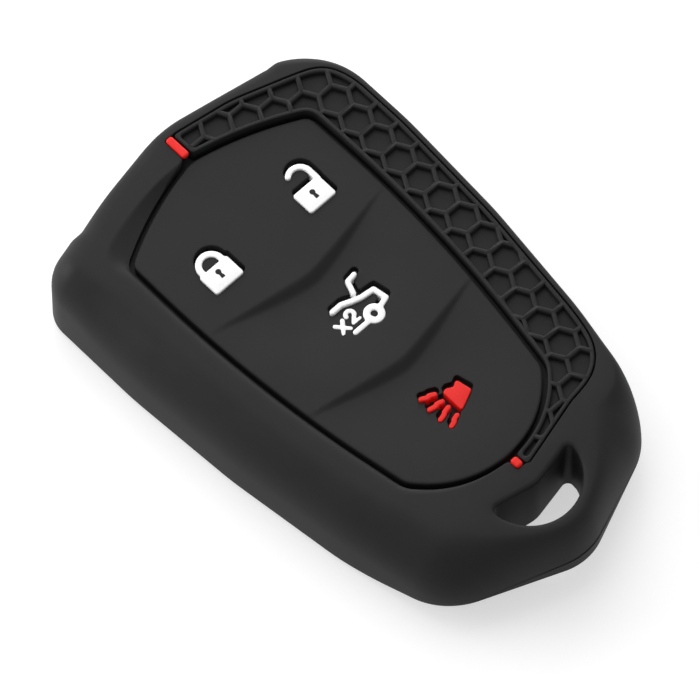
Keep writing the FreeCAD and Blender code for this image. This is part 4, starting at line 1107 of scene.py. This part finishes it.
def honeycomb_tree():
    """Cells on the lattice, trimmed to the field and cut out of the slab."""
    tree = empty_tree("honeycomb_cells", CELL_INPUTS)
    given = tree.nodes.new("NodeGroupInput").outputs
    points = lattice(tree, given)
    cell_shape = added(tree, "GeometryNodeObjectInfo", [("Object", given["Cell"])])
    field_shape = added(tree, "GeometryNodeObjectInfo", [("Object", given["Field"])])
    copies = added(tree, "GeometryNodeInstanceOnPoints", [("Points", points),
                                                          ("Instance", cell_shape.outputs["Geometry"])])
    real = added(tree, "GeometryNodeRealizeInstances", [(0, copies.outputs[0])])
    trimmed = boolean(tree, "INTERSECT", [("Mesh 2", real.outputs[0]),
                                          ("Mesh 2", field_shape.outputs["Geometry"])])
    carved = boolean(tree, "DIFFERENCE", [("Mesh 1", given["Geometry"]), ("Mesh 2", trimmed)])
    last = added(tree, "GeometryNodeRealizeInstances", [(0, carved)])
    finish = added(tree, "GeometryNodeSetMaterial", [("Geometry", last.outputs[0]),
                                                     ("Material", given["Material"])])
    added(tree, "NodeGroupOutput", [(0, finish.outputs[0])])
    return tree


print("every second row of cells is moved by %.3f mm" % (CELL_PITCH / 2))

# %% Honeycomb: carve the cells
CELL_PLACE = (-3.3, 19.6)
COLUMNS, ROWS, COLUMNS_BEFORE, ROWS_BEFORE = 20, 8, 10, 6
WEB_SHARP = 58


def carve_cells():
    modifier = slab.modifiers.new("cells", "NODES")
    modifier.node_group = honeycomb_tree()
    first_x = CELL_PLACE[0] - COLUMNS_BEFORE * CELL_PITCH
    first_y = CELL_PLACE[1] - ROWS_BEFORE * CELL_PITCH * math.sqrt(3) / 2
    values = {"Pitch": CELL_PITCH * MM, "Columns": COLUMNS, "Rows": ROWS,
              "Start": (first_x * MM, first_y * MM, 0.0), "Top": float(top_z(0.0)) * MM,
              "Fall": TOP_FALL / (DROP_START - WIDE_END),
              "Cell": cell, "Field": field, "Material": black_silicone}
    for item in modifier.node_group.interface.items_tree:
        if item.in_out == "INPUT" and item.name in values:
            modifier[item.identifier] = values[item.name]
    shown = slab.evaluated_get(bpy.context.evaluated_depsgraph_get())
    mesh = bpy.data.meshes.new_from_object(shown)
    for helper in (slab, field, cell):
        bpy.data.objects.remove(helper)
    return finished("honeycomb_grip", mesh, black_silicone, sharp=WEB_SHARP)


strip = carve_cells()
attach(strip, "cover")
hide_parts("honeycomb_strip")

# %% [markdown]
# ## Red bars
# Two short red bars close the strip at its ends. They are moulded proud of the black, with round ends and a
# soft upper edge. A bevelled box would do, but stacked rings also let the foot end a little before the top
# does, which leaves the groove beside it dark.

# %% Bars
RED_BAR_HALF, RED_BAR_CORNER, RED_BAR_STEP = 0.55, 0.4, 0.2
RED_BAR_EDGE, RED_BAR_WAIST, RED_BAR_FOOT = 0.3, 0.6, 0.75


def red_bar(name, node, start, length, foot_back):
    end = start + length
    line = rounded_loop([(start, -RED_BAR_HALF, RED_BAR_CORNER), (end, -RED_BAR_HALF, RED_BAR_CORNER),
                         (end, RED_BAR_HALF, RED_BAR_CORNER), (start, RED_BAR_HALF, RED_BAR_CORNER)],
                        RED_BAR_STEP)
    foot = line * (1 - foot_back / length, 1) + (start * foot_back / length, 0)
    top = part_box(node)[1][2] / MM
    rows = [(foot, STRIP_BASE), (foot, top - RED_BAR_FOOT), (line, top - RED_BAR_WAIST)]
    rows += [(moved(line, -RED_BAR_EDGE * inward), top - RED_BAR_EDGE * below)
             for inward, below in quarter_round(EDGE_STEPS)]
    bar = stacked(name, rows)
    bar.data.materials.clear()
    bar.data.materials.append(red_silicone)
    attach(bar, "cover")
    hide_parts(node)


red_bar("red_bar_wide_end", "upper_accent_bar", WIDE_END + 1.8, length=3.55, foot_back=0.9)
red_bar("red_bar_foot", "lower_accent_bar", PANEL_FOOT + 0.45, length=1.5, foot_back=0.2)

# %% [markdown]
# ## Pictograms
# The pictograms are raised silicone of another colour, moulded through the panel. An extruded curve would
# have the same outline but a hard edge, so each is a closed skin over its field's outline, with a rounded
# upper edge that catches the light. Each rides on its button and sinks with it.

# %% Pictograms
ICON_EDGE, ICON_SHARP = 0.17, 50
PAD_TOP = PANEL_BASE - 0.09
PADLOCK_LIFT, OTHER_LIFT = 0.2, -0.05
ICONS = [("lock", "lock_icon", "closed_padlock", "lock_button"),
         ("unlock", "unlock_icon", "open_padlock", "unlock_button"),
         ("trunk", "trunk_icon", "car_with_raised_lid", "trunk_button"),
         ("horn", "panic_horn_icon", "horn", "panic_button")]
ICONS += [("sound_%d" % k, "panic_sound_line_%d" % k, "sound_line_%d" % k, "panic_button")
          for k in range(1, 5)]


def moulded(name, loops, low, high, edge, material):
    """A closed piece over outlines with holes, with a soft upper edge."""
    skin = Skin()
    lows, highs = [], []
    for loop in loops:
        ring = skin.ring(lifted(loop, low))
        lows.append(ring)
        for inward, below in quarter_round(EDGE_STEPS):
            ring = skin.bridge(ring, skin.ring(lifted(moved(loop, -edge * inward), high - edge * below)))
        highs.append(ring)
    skin.fill(highs[0], highs[1:], True)
    skin.fill(lows[0], lows[1:], False)
    return skin.finish(name, material, sharp=ICON_SHARP)


icon_tops = {}
for icon, node, name, body in ICONS:
    lift = PADLOCK_LIFT if icon in ("lock", "unlock") else OTHER_LIFT
    icon_tops[icon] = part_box(node)[1][2] / MM + lift
    colour, slot = white_silicone, "white_silicone"
    if body == "panic_button":
        colour, slot = red_silicone, "red_silicone"
    piece = moulded(name, icon_loops(icon, icon_fields[icon]), PAD_TOP, icon_tops[icon], ICON_EDGE, colour)
    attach(piece, body)
    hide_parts(node)

# %% [markdown]
# ## Beds inside the pictograms
# The padlock's shackle and the car's wheel enclose a hole. On the real cover the black silicone stands nearly
# as high there as the pictogram. The hole's own outline, turned round, gives a bed that fits it exactly, and
# the bed moves with the button.

# %% Beds
BED_DROP, BED_EDGE = 0.2, 0.08
for button in ("lock", "trunk"):
    islands = [loop[::-1].copy() for loop in icon_loops(button, icon_fields[button]) if area(loop) < 0]
    for number, island in enumerate(islands, start=1):
        bed_top = icon_tops[button] - BED_DROP
        bed = moulded("%s_bed_%d" % (button, number), [island], PAD_TOP, bed_top, BED_EDGE, black_silicone)
        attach(bed, button + "_button")

# %% [markdown]
# ## Small marks
# The padlocks have keyholes, and a small mark beside the car says to press twice. A colour in the padlock's
# material could draw a keyhole, but an inlay keeps its sharp edge close up. They are outlines of a field too.

# %% Keyholes
KEYHOLE_DEEP, KEYHOLE_PROUD, KEYHOLE_EDGE = 0.3, 0.006, 0.005
KEYHOLE_WIDE, KEYHOLE_LONG, KEYHOLE_CORNER = 0.8, 1.0, 0.06
KEYHOLE_NECK, KEYHOLE_FOOT, KEYHOLE_RUN = 0.1, 0.25, 0.01
KEYHOLE_BOX, KEYHOLE_STEP = 2, 0.05


def keyhole(name, icon, body, place):
    """A round hole with a flaring foot."""
    x, y = place
    top = icon_tops[icon]
    foot_x = x + KEYHOLE_LONG
    foot = [(x, y - KEYHOLE_NECK), (foot_x, y - KEYHOLE_FOOT),
            (foot_x, y + KEYHOLE_FOOT), (x, y + KEYHOLE_NECK)]
    dot = stroke_field([(x, y), (x + KEYHOLE_RUN, y)], KEYHOLE_WIDE)
    outline = joined(dot, shape_field(foot, KEYHOLE_CORNER))
    low, high = (x - KEYHOLE_BOX, y - KEYHOLE_BOX), (x + KEYHOLE_BOX, y + KEYHOLE_BOX)
    loops = contour(outline, low, high, KEYHOLE_STEP)
    hole = moulded(name, loops, top - KEYHOLE_DEEP, top + KEYHOLE_PROUD, KEYHOLE_EDGE, black_silicone)
    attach(hole, body)


keyhole("closed_padlock_keyhole", "lock", "lock_button", (-19.48, -8.48))
keyhole("open_padlock_keyhole", "unlock", "unlock_button", (-19.48, 8.25))

# %% Press-twice mark
TIMES, TIMES_HALF = (-2.85, -2.25), (0.8, 0.65)
TWO, TWO_RADIUS, TWO_HEAD, TWO_FOOT = (-3.2, -0.3), 0.58, 0.42, 0.85
TWO_LEFT, TWO_RIGHT = 0.55, 0.6
MARK_BOX = ((-7, -5), (1, 3))
MARK_WIDTH, MARK_DEEP, MARK_HIGH, MARK_EDGE, MARK_STEP = 0.62, 0.15, 0.35, 0.15, 0.06


def slanted(rise):
    """One stroke of the cross, up or down."""
    x, y = TIMES
    half_x, half_y = TIMES_HALF
    return stroke_field([(x - half_x, y - rise * half_y), (x + half_x, y + rise * half_y)], MARK_WIDTH)


two_curve = arc((TWO[0] - TWO_HEAD, TWO[1]), TWO_RADIUS, 265, 60)
two_curve += [(TWO[0] + TWO_FOOT, TWO[1] - TWO_LEFT), (TWO[0] + TWO_FOOT, TWO[1] + TWO_RIGHT)]
mark_fields = {"times_mark": joined(slanted(1), slanted(-1)), "two_mark": stroke_field(two_curve, MARK_WIDTH)}
for name, mark_field in mark_fields.items():
    loops = contour(mark_field, *MARK_BOX, MARK_STEP)
    base = float(panel_z(*loops[0].T).min()) - MARK_DEEP
    mark = moulded(name, loops, base, base + MARK_HIGH, MARK_EDGE, white_silicone)
    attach(mark, "cover")

# %% [markdown]
# ## Press pads
# The pads under the buttons are only seen through the window in the back, where a softer edge would not show.
# The CAD nodes stay as they are and take the black silicone.

# %% Press pads
for node in ("lock_press_pad", "unlock_press_pad", "trunk_press_pad", "panic_press_pad"):
    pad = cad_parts[node]
    pad.data.materials.clear()
    pad.data.materials.append(black_silicone)
print("press pads keep their CAD shape")

# %% [markdown]
# ## Camera
# The photo shows next to no perspective, so the camera stands far away with a long lens. A camera without
# any perspective would come close too. Its three directions were fitted to the photo.

# %% Camera
scene = bpy.context.scene
scene.view_settings.view_transform = "Standard"
right = Vector((0.6932, 0.7207, 0.0))
up = Vector((-0.6410, 0.6165, 0.4572))
back = Vector((0.3295, -0.3169, 0.8894))
aim = Vector((-0.858, -2.976, 10.323)) * MM
CAMERA_DISTANCE, SENSOR, FRAME_WIDTH = 1.5, 36.0, 0.08974
camera = bpy.data.cameras.new("camera")
camera.sensor_width = SENSOR
camera.lens = SENSOR * CAMERA_DISTANCE / FRAME_WIDTH
camera.clip_start = 0.01
eye = bpy.data.objects.new("camera", camera)
bpy.context.collection.objects.link(eye)
turned = Matrix((right, up, back)).transposed().to_4x4()
eye.matrix_world = Matrix.Translation(aim + back * CAMERA_DISTANCE) @ turned
scene.camera = eye
print("camera: %.0f mm lens" % camera.lens)

# %% [markdown]
# ## Lights
# A product shot has large soft lights. The widest one stands above and beyond the cover, one at its left
# brightens the near side, and a low one behind it draws the far rim. Area lights give soft shadows, where
# points or suns would give hard ones.


# %% Lights
def soft_light(name, direction, distance, width, power):
    """A square area light that faces the cover from a direction."""
    light = bpy.data.lights.new(name, "AREA")
    light.size = width
    light.energy = power
    lamp = bpy.data.objects.new(name, light)
    bpy.context.collection.objects.link(lamp)
    direction = direction.normalized()
    facing = direction.to_track_quat("Z", "Y").to_matrix().to_4x4()
    lamp.matrix_world = Matrix.Translation(aim + direction * distance) @ facing
    print("%s: %.2f W" % (name, power))


soft_light("key_light", -0.25 * right + 0.9 * up + 0.75 * back, distance=0.42, width=0.35, power=0.82)
soft_light("left_light", -1.0 * right + 0.3 * up + 0.1 * back, distance=0.35, width=0.22, power=0.95)
soft_light("back_light", 0.15 * right + 1.0 * up - 0.25 * back, distance=0.35, width=0.22, power=0.7)

# %% [markdown]
# ## White surroundings
# The background is white and the floor keeps a soft shadow. More light on everything would wash out the
# object. Instead, the world and the floor look brighter only to rays from the camera, from gloss and through
# glass, and light the object as plain grey ones would.

# %% World
AMBIENT = 0.4


def seen_rays(nodes, links):
    """A socket that is 1 for rays from the camera, from gloss and through glass, and 0 for the others."""
    path = nodes.new("ShaderNodeLightPath")
    rays = path.outputs["Is Camera Ray"]
    for kind in ("Is Glossy Ray", "Is Transmission Ray"):
        either = nodes.new("ShaderNodeMath")
        either.operation = "MAXIMUM"
        links.new(rays, either.inputs[0])
        links.new(path.outputs[kind], either.inputs[1])
        rays = either.outputs[0]
    return rays


def white_world():
    world = bpy.data.worlds.new("studio")
    scene.world = world
    world.use_nodes = True
    nodes, links = world.node_tree.nodes, world.node_tree.links
    nodes.clear()
    mix = nodes.new("ShaderNodeMixShader")
    links.new(seen_rays(nodes, links), mix.inputs[0])
    for socket, strength in ((1, AMBIENT), (2, 1.0)):
        glow = nodes.new("ShaderNodeBackground")
        glow.inputs["Color"].default_value = (1.0, 1.0, 1.0, 1.0)
        glow.inputs["Strength"].default_value = strength
        links.new(glow.outputs[0], mix.inputs[socket])
    links.new(mix.outputs[0], nodes.new("ShaderNodeOutputWorld").inputs["Surface"])


white_world()
print("world: %.1f on the object, white to the camera" % AMBIENT)

# %% Floor
FLOOR_HALF, FLOOR_Z = 1.5, -0.02 * MM
PAPER, PAPER_GLOW = 0.6, 0.55


def pale_floor():
    mesh = bpy.data.meshes.new("floor")
    corners = [(x, y, FLOOR_Z) for x, y in block((0, 0), (FLOOR_HALF, FLOOR_HALF))]
    mesh.from_pydata(corners, [], [(0, 1, 2, 3)])
    material = bpy.data.materials.new("white_floor")
    material.use_nodes = True
    nodes, links = material.node_tree.nodes, material.node_tree.links
    nodes.clear()
    paper = nodes.new("ShaderNodeBsdfDiffuse")
    paper.inputs["Color"].default_value = (PAPER, PAPER, PAPER, 1.0)
    glow = nodes.new("ShaderNodeEmission")
    share = nodes.new("ShaderNodeMath")
    share.operation = "MULTIPLY"
    share.inputs[1].default_value = PAPER_GLOW
    links.new(seen_rays(nodes, links), share.inputs[0])
    links.new(share.outputs[0], glow.inputs["Strength"])
    both = nodes.new("ShaderNodeAddShader")
    links.new(paper.outputs[0], both.inputs[0])
    links.new(glow.outputs[0], both.inputs[1])
    links.new(both.outputs[0], nodes.new("ShaderNodeOutputMaterial").inputs["Surface"])
    mesh.materials.append(material)
    floor = bpy.data.objects.new("floor", mesh)
    bpy.context.collection.objects.link(floor)


pale_floor()
print("floor: %.0f m wide" % (2 * FLOOR_HALF))
